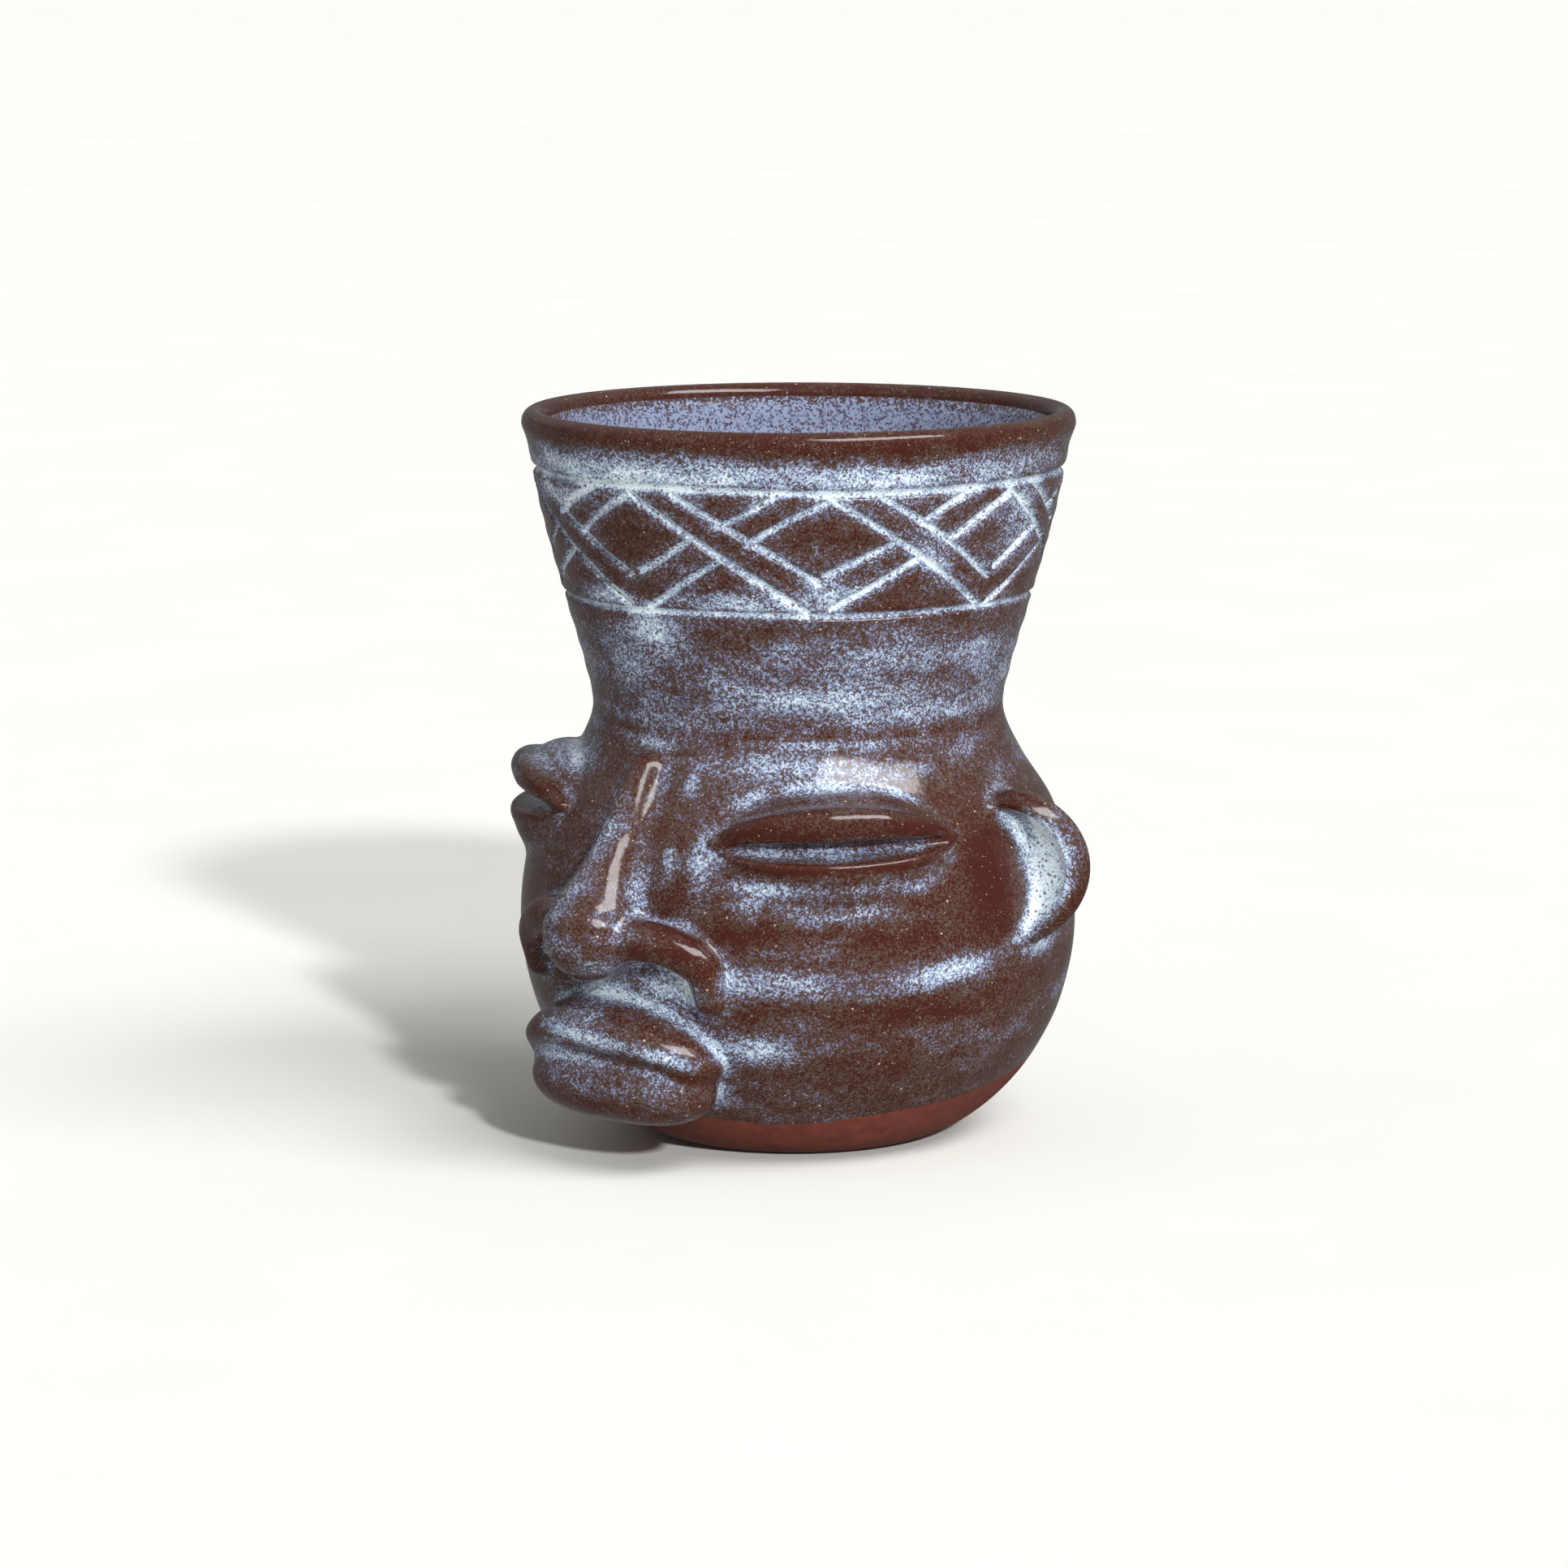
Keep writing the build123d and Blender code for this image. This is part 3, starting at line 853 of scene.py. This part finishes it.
def make_object(name, points, faces, normals, glaze, material):
    """A mesh object in metres.  Normals are one for each face corner, zero where they are left alone."""
    mesh = bpy.data.meshes.new(name)
    mesh.from_pydata((points * MM).tolist(), [], faces)
    mesh.polygons.foreach_set("use_smooth", [True] * len(mesh.polygons))
    mesh.materials.append(material)
    # the glaze attribute is the glaze's thickness, and on the head it also holds the painted shade of the
    # eye slit and lip crease
    layer = mesh.attributes.new("glaze", "FLOAT", "POINT")
    layer.data.foreach_set("value", np.asarray(glaze, np.float32))
    mesh.normals_split_custom_set(normals.tolist())
    made = bpy.data.objects.new(name, mesh)
    bpy.context.scene.collection.objects.link(made)
    return made


class Clay:
    """The points that every piece of the head takes its faces from."""

    def __init__(self, points):
        self.points = points

    def add(self, points):
        """Takes in more points and gives their numbers."""
        start = len(self.points)
        self.points = np.concatenate([self.points, points])
        return list(range(start, start + len(points)))

    def piece(self, name, surface, hidden, normals, glaze, material):
        """An object from the faces that show, and the faces out of sight that close it."""
        flat = np.concatenate([surface.ravel()] + [np.array(f) for f in hidden])
        used, number = np.unique(flat, return_inverse=True)
        faces = number[:surface.size].reshape(surface.shape).tolist()
        start = surface.size
        for f in hidden:
            faces.append(number[start:start + len(f)].tolist())
            start += len(f)
        corner_normals = np.zeros((len(flat), 3))
        corner_normals[:surface.size] = normals[surface.ravel()]
        thickness = np.full(len(self.points), HIDDEN_GLAZE)
        thickness[:len(glaze)] = glaze
        return make_object(name, self.points[used], faces, corner_normals, thickness[used], material)


# ---- the head ----------------------------------------------------------------------------------
INSIDE_JOINT = 10.5        # height inside where the foot's clay meets the bowl's
INSIDE_STEPS = 192
HEAD_LOW = np.array([-64.0, -66.0, -1.3])      # corners of the box that the head is meshed in
HEAD_HIGH = np.array([64.0, 52.0, 75.5])


def head_mesh():
    """The head as points and quads, smooth, and cut level at the waist."""
    points, quads = surface_net(sampled(head_field, HEAD_LOW, HEAD_HIGH, CELL), HEAD_LOW, CELL)
    points = onto_surface(head_field, points)
    for _ in range(3):
        points = onto_surface(head_field, 0.45 * points + 0.55 * neighbours_mean(points, quads), 1)
    quads = quads[points[quads, 2].mean(1) < WAIST]
    used, quads = np.unique(quads, return_inverse=True)
    points, quads = points[used], quads.reshape(-1, 4)
    top = np.unique(border_edges(quads))
    a = np.arctan2(points[top, 0], -points[top, 1])
    radius = wall_radius(WAIST)
    points[top] = np.stack([radius * np.sin(a), -radius * np.cos(a), np.full(len(top), WAIST)], 1)
    points[points[:, 2] < 0.06, 2] = 0.0
    return points, quads


def head_labels(points, quads):
    """A name for every quad: the piece of clay that it belongs to."""
    middle = points[quads].mean(1)
    nearest = head_field(middle, True)[1]
    names = ["head_bowl", "foot_base"]
    label = np.zeros(len(quads), int)
    for i, lump in enumerate(LABELS[1:], 1):
        sides = [("", True)]
        if lump not in ("nose", "upper_lip", "lower_lip"):
            sides = [("_left", middle[:, 0] >= 0), ("_right", middle[:, 0] < 0)]
        for side, there in sides:
            label[(nearest == i) & there] = len(names)
            names.append(lump + side)
    label[(label == 0) & (middle[:, 2] < glaze_line(azimuth_of(middle)))] = 1
    return names, tidy_labels(label, quads, len(points))


def skirt(edges, beds):
    """Walls from the border of a patch down to its bed."""
    return [(b, a, beds[a], beds[b]) for a, b in edges]


def sheet_faces(numbers):
    """Quads of a turned sheet, given as rows of point numbers, facing away from the axis."""
    after = np.roll(numbers, -1, 1)
    quads = np.stack([numbers[:-1], after[:-1], after[1:], numbers[1:]], -1)
    return quads.reshape(-1, 4).tolist()


def flipped(faces):
    """The same faces seen from behind."""
    return [tuple(f[::-1]) for f in faces]


def inside_sheet(clay, low, high, count):
    """Rows of points up the inside of the clay, between two heights."""
    z = np.linspace(low, high, count)[:, None]
    rows = turned_sheet(clay_inside_radius(z), z, INSIDE_STEPS)
    return np.array(clay.add(rows.reshape(-1, 3))).reshape(count, INSIDE_STEPS)


def smooth_normals(points, quads):
    """The field's normals at the points, evened out a little along the mesh."""
    normals = gradient(head_field, points)
    for _ in range(3):
        normals = 0.4 * normals + 0.6 * neighbours_mean(normals, quads)
    return normals / np.maximum(np.linalg.norm(normals, axis=1), 1e-9)[:, None]


def build_head(glaze_material, clay_material):
    """The bowl, the foot and every luted piece, each closed on its own."""
    points, quads = head_mesh()
    names, label = head_labels(points, quads)
    normals = smooth_normals(points, quads)
    level = head_glaze_and_shade(points)
    clay = Clay(points)
    patches = {name: quads[label == i] for i, name in enumerate(names)}
    lumps = names[2:]
    chains = {name: loops_of(border_edges(patches[name]))[0] for name in lumps}
    ringed, flat = bed_rings(points, list(chains.values()))
    beds = dict(zip(ringed.tolist(), clay.add(on_bed(flat))))
    flat_of = dict(zip(ringed.tolist(), flat))
    made, bed_of_bowl = {}, []
    for name in lumps:
        chain = chains[name]
        middle, triangles = bed_triangles(np.array([flat_of[v] for v in chain]))
        numbers = [beds[v] for v in chain] + clay.add(middle)
        cap = [tuple(numbers[v] for v in tri) for tri in triangles]
        bed_of_bowl += flipped(cap)
        hidden = cap + skirt(border_edges(patches[name]).tolist(), beds)
        made[name] = clay.piece(name, patches[name], hidden, normals, level, glaze_material)

    bowl = patches["head_bowl"]
    luted = {tuple(e) for e in border_edges(quads[label > 1])[:, ::-1].tolist()}
    edges = [tuple(e) for e in border_edges(bowl).tolist()]
    socket = skirt([e for e in edges if e in luted], beds)
    rings = loops_of([e for e in edges if e not in luted])
    top = next(r for r in rings if abs(clay.points[r, 2] - WAIST).max() < 1e-6)
    line = next(r for r in rings if r is not top)
    inside = inside_sheet(clay, INSIDE_JOINT, WAIST, 40)
    hidden = bed_of_bowl + socket + flipped(sheet_faces(inside))
    hidden += zipped(top[::-1], list(inside[-1]), clay.points)
    hidden += flipped(zipped(line, list(inside[0]), clay.points))
    made["head_bowl"] = clay.piece("head_bowl", bowl, hidden, normals, level, glaze_material)
    hidden = floor_faces(clay, inside[:1]) + zipped(line, list(inside[0]), clay.points)
    made["foot_base"] = clay.piece("foot_base", patches["foot_base"], hidden, normals, level, clay_material)
    return made


def floor_faces(clay, edge):
    """The floor inside the mug, from its middle out to a row of points at its edge."""
    profile = inner_profile(WALL - GLAZE_STEP, 60)
    profile = profile[profile[:, 1] < INSIDE_JOINT - 0.3][1:]
    rows = turned_sheet(profile[:, :1], profile[:, 1:], INSIDE_STEPS)
    rows = np.array(clay.add(rows.reshape(-1, 3))).reshape(-1, INSIDE_STEPS)
    rows = np.concatenate([rows, edge])
    centre = clay.add(np.array([[0.0, 0.0, FLOOR - GLAZE_STEP]]))[0]
    fan = [(centre, a, b) for a, b in zip(rows[0], np.roll(rows[0], -1))]
    return flipped(sheet_faces(rows)) + fan


# ---- the cup, the band, the rim and the inside --------------------------------------------------
TURN_STEP, CLIMB_STEP = 0.05, 0.04     # degrees and millimetres to either side of a point


def wall_normals(azimuth, z):
    """Normals of the cup's wall, from how its radius changes round it and up it."""
    def change(turn, climb):
        return cup_radius(azimuth + turn, z + climb) - cup_radius(azimuth - turn, z - climb)

    turn = change(TURN_STEP, 0.0) / np.radians(2 * TURN_STEP) / cup_radius(azimuth, z)
    climb = change(0.0, CLIMB_STEP) / (2 * CLIMB_STEP)
    a = np.radians(azimuth)
    out = np.stack([np.sin(a), -np.cos(a), 0 * a], -1)
    along = np.stack([np.cos(a), np.sin(a), 0 * a], -1)
    n = out - turn[..., None] * along - climb[..., None] * np.array([0.0, 0.0, 1.0])
    return n / np.linalg.norm(n, axis=-1)[..., None]


def turned_ring(name, rows, shown, normals, glaze, material):
    """A closed ring from rows of points that go round its section: up the outside, down the inside."""
    count, steps = rows.shape[:2]
    number = np.arange(count * steps).reshape(count, steps)
    faces = sheet_faces(np.concatenate([number, number[:1]]))
    corner = np.zeros((count, steps, 3))
    corner[:shown] = normals
    corner = corner.reshape(-1, 3)[np.array(faces).ravel()]
    last_shown = (shown - 1) * steps * 4
    corner[last_shown:] = 0.0
    return make_object(name, rows.reshape(-1, 3), faces, corner, glaze.ravel(), material)


def wall_ring(name, heights, steps, material):
    """A ring of the cup's wall between the first and the last of some heights."""
    azimuth, z = np.meshgrid(full_turn(steps), heights)
    outside = turned_sheet(cup_radius(azimuth, z), z, steps)
    down = np.linspace(heights[-1], heights[0], 7)[:, None]
    inside = turned_sheet(clay_inside_radius(down) + hand_wobble(azimuth[:1], down), down, steps)
    rows = np.concatenate([outside, inside])
    glaze = np.concatenate([cup_glaze(azimuth, z), np.full(inside.shape[:2], HIDDEN_GLAZE)])
    return turned_ring(name, rows, len(heights), wall_normals(azimuth, z), glaze, material)


# Section of the rolled rim as (radius, height), up the outside and down the inside.
RIM_SECTION = [
    (45.9, 118.2), (46.6, 120.6), (47.1, 122.6), (46.8, 124.1), (45.6, 124.95), (44.2, 124.7),
    (43.3, 123.8), (42.85, 122.6), (42.3, 119.6), (41.4, 117.0),
]
ROLL_START = 116.6     # height from which its curve grows out of the wall's
PLAIN_ABOVE = 118.0    # height that no carving reaches


def build_rim(material):
    """The rim: the wall above the band, rolled over at the top."""
    steps = 768
    low = np.linspace(BAND_TOP, RIM_SECTION[0][1], 14)[:-1]
    roll = spline_through([(float(wall_radius(ROLL_START)), ROLL_START)] + RIM_SECTION, 80)
    roll = roll[np.argmax(roll[:, 1] > RIM_SECTION[0][1]):]
    section_z = np.concatenate([low, roll[:, 1]])
    section_r = np.concatenate([wall_radius(low), roll[:, 0]])
    azimuth, z = np.meshgrid(full_turn(steps), section_z)
    depth = carving(azimuth, z)[0] * (z < PLAIN_ABOVE)
    outside = turned_sheet(section_r[:, None] + hand_wobble(azimuth, z) - depth, z, steps)
    around = np.roll(outside, -1, 1) - np.roll(outside, 1, 1)
    normals = np.cross(around, np.gradient(outside, axis=0))
    normals /= np.linalg.norm(normals, axis=-1)[..., None]
    end_radius = clay_inside_radius(BAND_TOP) + hand_wobble(azimuth[:1], BAND_TOP)
    end = turned_sheet(end_radius, np.full((1, 1), BAND_TOP), steps)
    rows = np.concatenate([outside, end])
    glaze = np.concatenate([cup_glaze(azimuth, z), np.full((1, steps), HIDDEN_GLAZE)])
    return turned_ring("rim_collar", rows, len(outside), normals, glaze, material)


LINER = 0.35           # thickness of the glaze inside
LINER_TUCK = 0.38      # how far its face draws back towards its upper edge, until it is inside the clay


def build_liner(material):
    """The glaze inside: a thin skin from the middle of the floor to just under the rim."""
    steps = 256
    drink_side = inner_profile(WALL, 150)[1:]
    clay_side = inner_profile(WALL - LINER, 60)[1:]
    drink_side[:, 0] += LINER_TUCK * smoothstep(118.0, 122.8, drink_side[:, 1])
    section = np.concatenate([clay_side, drink_side[::-1]])
    radius = section[:, :1] + hand_wobble(full_turn(steps)[None, :], section[:, 1:])
    rows = turned_sheet(radius, section[:, 1:], steps)
    points = np.concatenate([rows.reshape(-1, 3), [[0, 0, clay_side[0, 1]], [0, 0, drink_side[0, 1]]]])
    number = np.arange(rows.shape[0] * steps).reshape(-1, steps)
    faces = sheet_faces(number)
    under, over = len(points) - 2, len(points) - 1
    first, last = number[0], number[-1]
    faces += [(under, b, a) for a, b in zip(first.tolist(), np.roll(first, -1).tolist())]
    faces += [(over, a, b) for a, b in zip(last.tolist(), np.roll(last, -1).tolist())]
    corners = sum(len(f) for f in faces)
    glaze = 0.95 * smoothstep(123.4, 120.6, points[:, 2])
    return make_object("glaze_liner", points, faces, np.zeros((corners, 3)), glaze, material)


def build_cup(material):
    """The three rings above the waist."""
    around = 1024
    fine = 0.3
    heights = np.arange(WAIST, BAND_BOTTOM - 1.2, 0.7)
    heights = np.concatenate([heights, np.linspace(BAND_BOTTOM - 1.2, BAND_BOTTOM, 6)])
    made = {"cup_wall": wall_ring("cup_wall", heights, around // 2, material)}
    count = int((BAND_TOP - BAND_BOTTOM) / fine) + 1
    heights = np.linspace(BAND_BOTTOM, BAND_TOP, count)
    made["carved_band"] = wall_ring("carved_band", heights, around, material)
    made["rim_collar"] = build_rim(material)
    return made


# ---- finishes ----------------------------------------------------------------------------------
# Colour of the outer glaze by its thickness, from worn-thin crests to pools.
GLAZE_COLOURS = [
    (0.00, (0.043, 0.0085, 0.0055)), (0.20, (0.062, 0.034, 0.023)), (0.37, (0.074, 0.052, 0.054)),
    (0.51, (0.135, 0.150, 0.250)), (0.68, (0.310, 0.385, 0.490)), (1.00, (0.680, 0.760, 0.810)),
]
PINHOLE = (0.085, 0.045, 0.060)
SPECK = (0.60, 0.49, 0.42)
# And of the inner glaze.
INNER_COLOURS = [
    (0.00, (0.050, 0.026, 0.022)), (0.38, (0.062, 0.052, 0.085)),
    (0.62, (0.110, 0.132, 0.215)), (0.95, (0.205, 0.240, 0.345)),
]
BARE_CLAY = (0.138, 0.029, 0.017)


class Nodes:
    """A node tree, with short ways to add the nodes used here."""

    def __init__(self, tree, coordinates):
        self.tree = tree
        self.place = tree.nodes.new("ShaderNodeTexCoord").outputs[coordinates]

    def put(self, socket, value):
        """Links an input to another node's output, or gives it a constant."""
        if isinstance(value, bpy.types.NodeSocket):
            self.tree.links.new(value, socket)
        else:
            socket.default_value = value

    def node(self, kind, **inputs):
        """A new node with its inputs filled.  An underscore stands for a space in an input's name."""
        made = self.tree.nodes.new("ShaderNode" + kind)
        for name, value in inputs.items():
            self.put(made.inputs[name.replace("_", " ")], value)
        return made

    def math(self, operation, a, b=0.0):
        made = self.node("Math")
        made.operation = operation
        self.put(made.inputs[0], a)
        self.put(made.inputs[1], b)
        return made.outputs[0]

    def plus(self, a, b):
        return self.math("ADD", a, b)

    def minus(self, a, b):
        return self.math("SUBTRACT", a, b)

    def times(self, a, b):
        return self.math("MULTIPLY", a, b)

    def centred(self, value, amount):
        """A 0 to 1 value as plus or minus half an amount."""
        return self.times(self.minus(value, 0.5), amount)

    def noise(self, size, detail=2.0, roughness=0.5, flatness=1.0):
        """Noise from 0 to 1 with features of a size in millimetres, that much longer than high."""
        place = self.place
        if flatness != 1.0:
            place = self.node("Mapping", Vector=place, Scale=(1.0, 1.0, flatness)).outputs["Vector"]
        made = self.node("TexNoise", Vector=place, Scale=1000.0 / size, Detail=detail, Roughness=roughness)
        return made.outputs["Fac"]

    def cells(self, size):
        """Cells of a size in millimetres: the distance from a cell's middle and two random values."""
        made = self.node("TexVoronoi", Vector=self.place, Scale=1000.0 / size)
        split = self.node("SeparateColor", Color=made.outputs["Color"])
        return made.outputs["Distance"], split.outputs[0], split.outputs[1]

    def grains(self, size):
        """A random value from 0 to 1 for every little grain."""
        return self.cells(size)[1]

    def dots(self, spacing, radius, share):
        """1 in round dots at random places, 0 between them.  Share is how many cells have one."""
        distance, chance, width = self.cells(spacing)
        reach = self.times(width, radius / spacing)
        reach = self.plus(reach, 0.35 * radius / spacing)
        dot = self.smooth(self.minus(reach, distance), 0.0, 0.12)
        return self.times(dot, self.math("LESS_THAN", chance, share))

    def smooth(self, value, low, high, start=0.0, end=1.0):
        """A soft step from start to end while the value goes from low to high."""
        made = self.node("MapRange", Value=value, From_Min=low, From_Max=high, To_Min=start, To_Max=end)
        made.interpolation_type = "SMOOTHSTEP"
        return made.outputs["Result"]

    def ramp(self, value, stops):
        """A colour for the value, from (position, colour) stops."""
        made = self.node("ValToRGB", Fac=value)
        elements = made.color_ramp.elements
        while len(elements) < len(stops):
            elements.new(0.5)
        for element, (position, colour) in zip(elements, stops):
            element.position = position
            element.color = (*colour, 1.0)
        return made.outputs["Color"]

    def mix(self, share, socket, colour):
        """A colour socket with a share of a constant colour mixed in."""
        made = self.node("Mix")
        made.data_type = "RGBA"
        self.put(made.inputs["Factor"], share)
        self.put(made.inputs["A"], socket)
        self.put(made.inputs["B"], (*colour, 1.0))
        return made.outputs["Result"]


class Finish(Nodes):
    """A material, with its texture fixed to the piece's own coordinates."""

    def __init__(self, name):
        self.material = bpy.data.materials.new(name)
        self.material.use_nodes = True
        super().__init__(self.material.node_tree, "Object")
        self.shader = self.tree.nodes["Principled BSDF"]

    def thickness(self):
        """The thickness of glaze, kept on the mesh, with the painted shade of the eye slit and the lip
        crease in it.
        """
        made = self.node("Attribute")
        made.attribute_name = "glaze"
        return made.outputs["Fac"]

    def bump(self, height, distance, strength):
        """Relief of a depth in millimetres."""
        made = self.node("Bump", Height=height, Distance=distance * MM, Strength=strength)
        self.put(self.shader.inputs["Normal"], made.outputs["Normal"])

    def finish(self, colour, roughness, spread, size, ior=1.5):
        """The material.  Its roughness varies over patches of a size in millimetres."""
        self.put(self.shader.inputs["Base Color"], colour)
        variation = self.centred(self.noise(size), spread)
        self.put(self.shader.inputs["Roughness"], self.plus(roughness, variation))
        self.shader.inputs["IOR"].default_value = ior
        return self.material


def outer_glaze():
    """Brown glaze that breaks to mottled white and blue where it is thick."""
    n = Finish("outer_glaze")
    cloud = n.centred(n.noise(8.0, 3.0, flatness=2.4), 0.60)
    mottle = n.centred(n.noise(1.3, 3.0, 0.6), 0.36)
    level = n.plus(n.plus(n.thickness(), cloud), mottle)
    colour = n.ramp(n.plus(level, n.centred(n.grains(0.30), 0.46)), GLAZE_COLOURS)
    pale = n.smooth(level, 0.50, 0.68)
    holes = n.times(n.dots(0.80, 0.28, 0.75), pale)
    colour = n.mix(n.times(holes, 0.8), colour, PINHOLE)
    brown = n.smooth(level, 0.52, 0.36)
    for spacing, radius, share in ((1.5, 0.22, 0.4), (0.75, 0.12, 0.5)):
        specks = n.times(n.dots(spacing, radius, share), brown)
        colour = n.mix(n.times(specks, 0.65), colour, SPECK)
    orange_peel = n.noise(2.6, 2.0)
    pits = n.times(holes, -0.5)
    n.bump(n.plus(orange_peel, pits), 0.10, 0.5)
    return n.finish(colour, 0.12, 0.10, 1.1)


def inner_glaze():
    """The smoother blue glaze inside, brown just under the rim."""
    n = Finish("inner_glaze")
    level = n.plus(n.thickness(), n.centred(n.noise(3.5, 4.0, 0.6), 0.5))
    colour = n.ramp(n.plus(level, n.centred(n.grains(0.36), 1.5)), INNER_COLOURS)
    colour = n.mix(n.times(n.dots(1.0, 0.36, 0.8), 0.7), colour, PINHOLE)
    n.bump(n.noise(3.0, 2.0), 0.10, 0.5)
    return n.finish(colour, 0.20, 0.10, 1.5)


def bare_clay():
    """Unglazed red stoneware, slightly gritty."""
    n = Finish("bare_clay")
    darker = tuple(0.72 * c for c in BARE_CLAY)
    lighter = tuple(1.25 * c for c in BARE_CLAY)
    colour = n.ramp(n.noise(2.5, 4.0, 0.6), [(0.25, darker), (0.75, lighter)])
    n.bump(n.noise(0.5, 3.0, 0.6), 0.10, 0.6)
    return n.finish(colour, 0.68, 0.16, 2.0, ior=1.38)


# ---- studio ------------------------------------------------------------------------------------
CAMERA_AZIMUTH = 41.5
CAMERA_DISTANCE = 0.950        # level distance from the axis
CAMERA_HEIGHT = 0.216
AIM_HEIGHT = 0.062
AIM_RIGHT, AIM_UP = -0.0024, -0.0023
LENS, SENSOR = 128.09, 36.0


def pointing(direction):
    """The rotation of a camera or a light that looks along a direction."""
    return Vector(direction).to_track_quat("-Z", "Y").to_euler()


def set_camera():
    """A long lens, a little above the mug, from between its face and its left ear."""
    a = math.radians(CAMERA_AZIMUTH)
    place = Vector((CAMERA_DISTANCE * math.sin(a), -CAMERA_DISTANCE * math.cos(a), CAMERA_HEIGHT))
    right = Vector((math.cos(a), math.sin(a), 0.0))
    axis_point = Vector((0.0, 0.0, AIM_HEIGHT))
    up = right.cross((axis_point - place).normalized())
    aim = axis_point + AIM_RIGHT * right + AIM_UP * up
    data = bpy.data.cameras.new("camera")
    data.lens, data.sensor_width = LENS, SENSOR
    camera = bpy.data.objects.new("camera", data)
    camera.location = place
    camera.rotation_euler = pointing(aim - place)
    bpy.context.scene.collection.objects.link(camera)
    bpy.context.scene.camera = camera


def from_camera(turn, elevation):
    """The direction that light comes from, turned to the camera's right by that many degrees."""
    a = math.radians(CAMERA_AZIMUTH + turn)
    e = math.radians(elevation)
    return Vector((math.sin(a) * math.cos(e), -math.cos(a) * math.cos(e), math.sin(e)))


KEY_TURN, KEY_ELEVATION = 19.5, 24.75
KEY_STRENGTH = 2.95
KEY_SPREAD = 4.0               # how many degrees wide the source looks


def set_key_light():
    """The light that throws the shadow.  Reflections don't show it: they show the window."""
    data = bpy.data.lights.new("key", "SUN")
    data.energy = KEY_STRENGTH
    data.angle = math.radians(KEY_SPREAD)
    light = bpy.data.objects.new("key", data)
    light.rotation_euler = pointing(-from_camera(KEY_TURN, KEY_ELEVATION))
    light.visible_glossy = False
    bpy.context.scene.collection.objects.link(light)


WINDOW_TURN, WINDOW_ELEVATION = 46.0, 50.0
WINDOW_HALF_WIDTH, WINDOW_HALF_HEIGHT = 0.40, 0.18      # as tangents of the angles
WINDOW_EDGE = 0.03
WINDOW_RADIANCE = 9.0
ROOM_LOW, ROOM_HIGH = 0.17, 0.42                        # radiance at eye level and overhead
ROOM_RISE = (0.15, 0.72)                                # sines of the elevations between which it grows
ROOM_COLOUR = (1.0, 1.0, 0.99, 1.0)


def along(sky, axis):
    """How far the looked-at direction goes along an axis."""
    made = sky.node("VectorMath")
    made.operation = "DOT_PRODUCT"
    sky.put(made.inputs[0], sky.place)
    sky.put(made.inputs[1], axis)
    return made.outputs["Value"]


def window(sky):
    """1 inside a soft-edged window, 0 round it."""
    centre = from_camera(WINDOW_TURN, WINDOW_ELEVATION)
    side = Vector((-centre.y, centre.x, 0.0)).normalized()
    ahead = sky.math("MAXIMUM", along(sky, centre), 0.01)
    inside = 1.0
    for axis, half in ((side, WINDOW_HALF_WIDTH), (centre.cross(side), WINDOW_HALF_HEIGHT)):
        offset = sky.math("ABSOLUTE", sky.math("DIVIDE", along(sky, axis), ahead))
        edge = sky.smooth(offset, half - WINDOW_EDGE, half + WINDOW_EDGE, 1.0, 0.0)
        inside = sky.times(edge, inside)
    return inside


def set_world():
    """A pale room, bright overhead and dim at eye level, with one broad window of soft light."""
    world = bpy.data.worlds.new("studio")
    bpy.context.scene.world = world
    world.use_nodes = True
    sky = Nodes(world.node_tree, "Generated")
    room = sky.smooth(along(sky, (0.0, 0.0, 1.0)), *ROOM_RISE, ROOM_LOW, ROOM_HIGH)
    glow = sky.times(window(sky), WINDOW_RADIANCE)
    background = world.node_tree.nodes["Background"]
    background.inputs["Color"].default_value = ROOM_COLOUR
    sky.put(background.inputs["Strength"], sky.plus(room, glow))


GROUND_RADIUS = 16.0           # metres: far beyond the picture
GROUND_COLOURS = [(0.3, (0.770, 0.775, 0.745)), (0.7, (0.790, 0.795, 0.765))]


def set_floor():
    """A pale floor that the glaze doesn't reflect."""
    n = Finish("floor_white")
    colour = n.ramp(n.noise(60.0, 2.0), GROUND_COLOURS)
    n.shader.inputs["Specular IOR Level"].default_value = 0.2
    material = n.finish(colour, 0.80, 0.05, 40.0)
    bpy.ops.mesh.primitive_circle_add(vertices=96, radius=GROUND_RADIUS, fill_type="NGON")
    made = bpy.context.object
    made.name = "floor"
    made.data.materials.append(material)
    made.visible_glossy = False


# ---- the mug -----------------------------------------------------------------------------------
glaze = outer_glaze()
pieces = build_head(glaze, bare_clay())
pieces.update(build_cup(glaze))
pieces["glaze_liner"] = build_liner(inner_glaze())
for name, piece in pieces.items():
    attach(piece, "root")
    if name == "head_bowl":
        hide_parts("bowl_lower", "bowl_cheeks", "bowl_shoulder")
    else:
        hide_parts(name)

set_floor()
set_world()
set_key_light()
set_camera()
bpy.context.scene.view_settings.view_transform = "Standard"
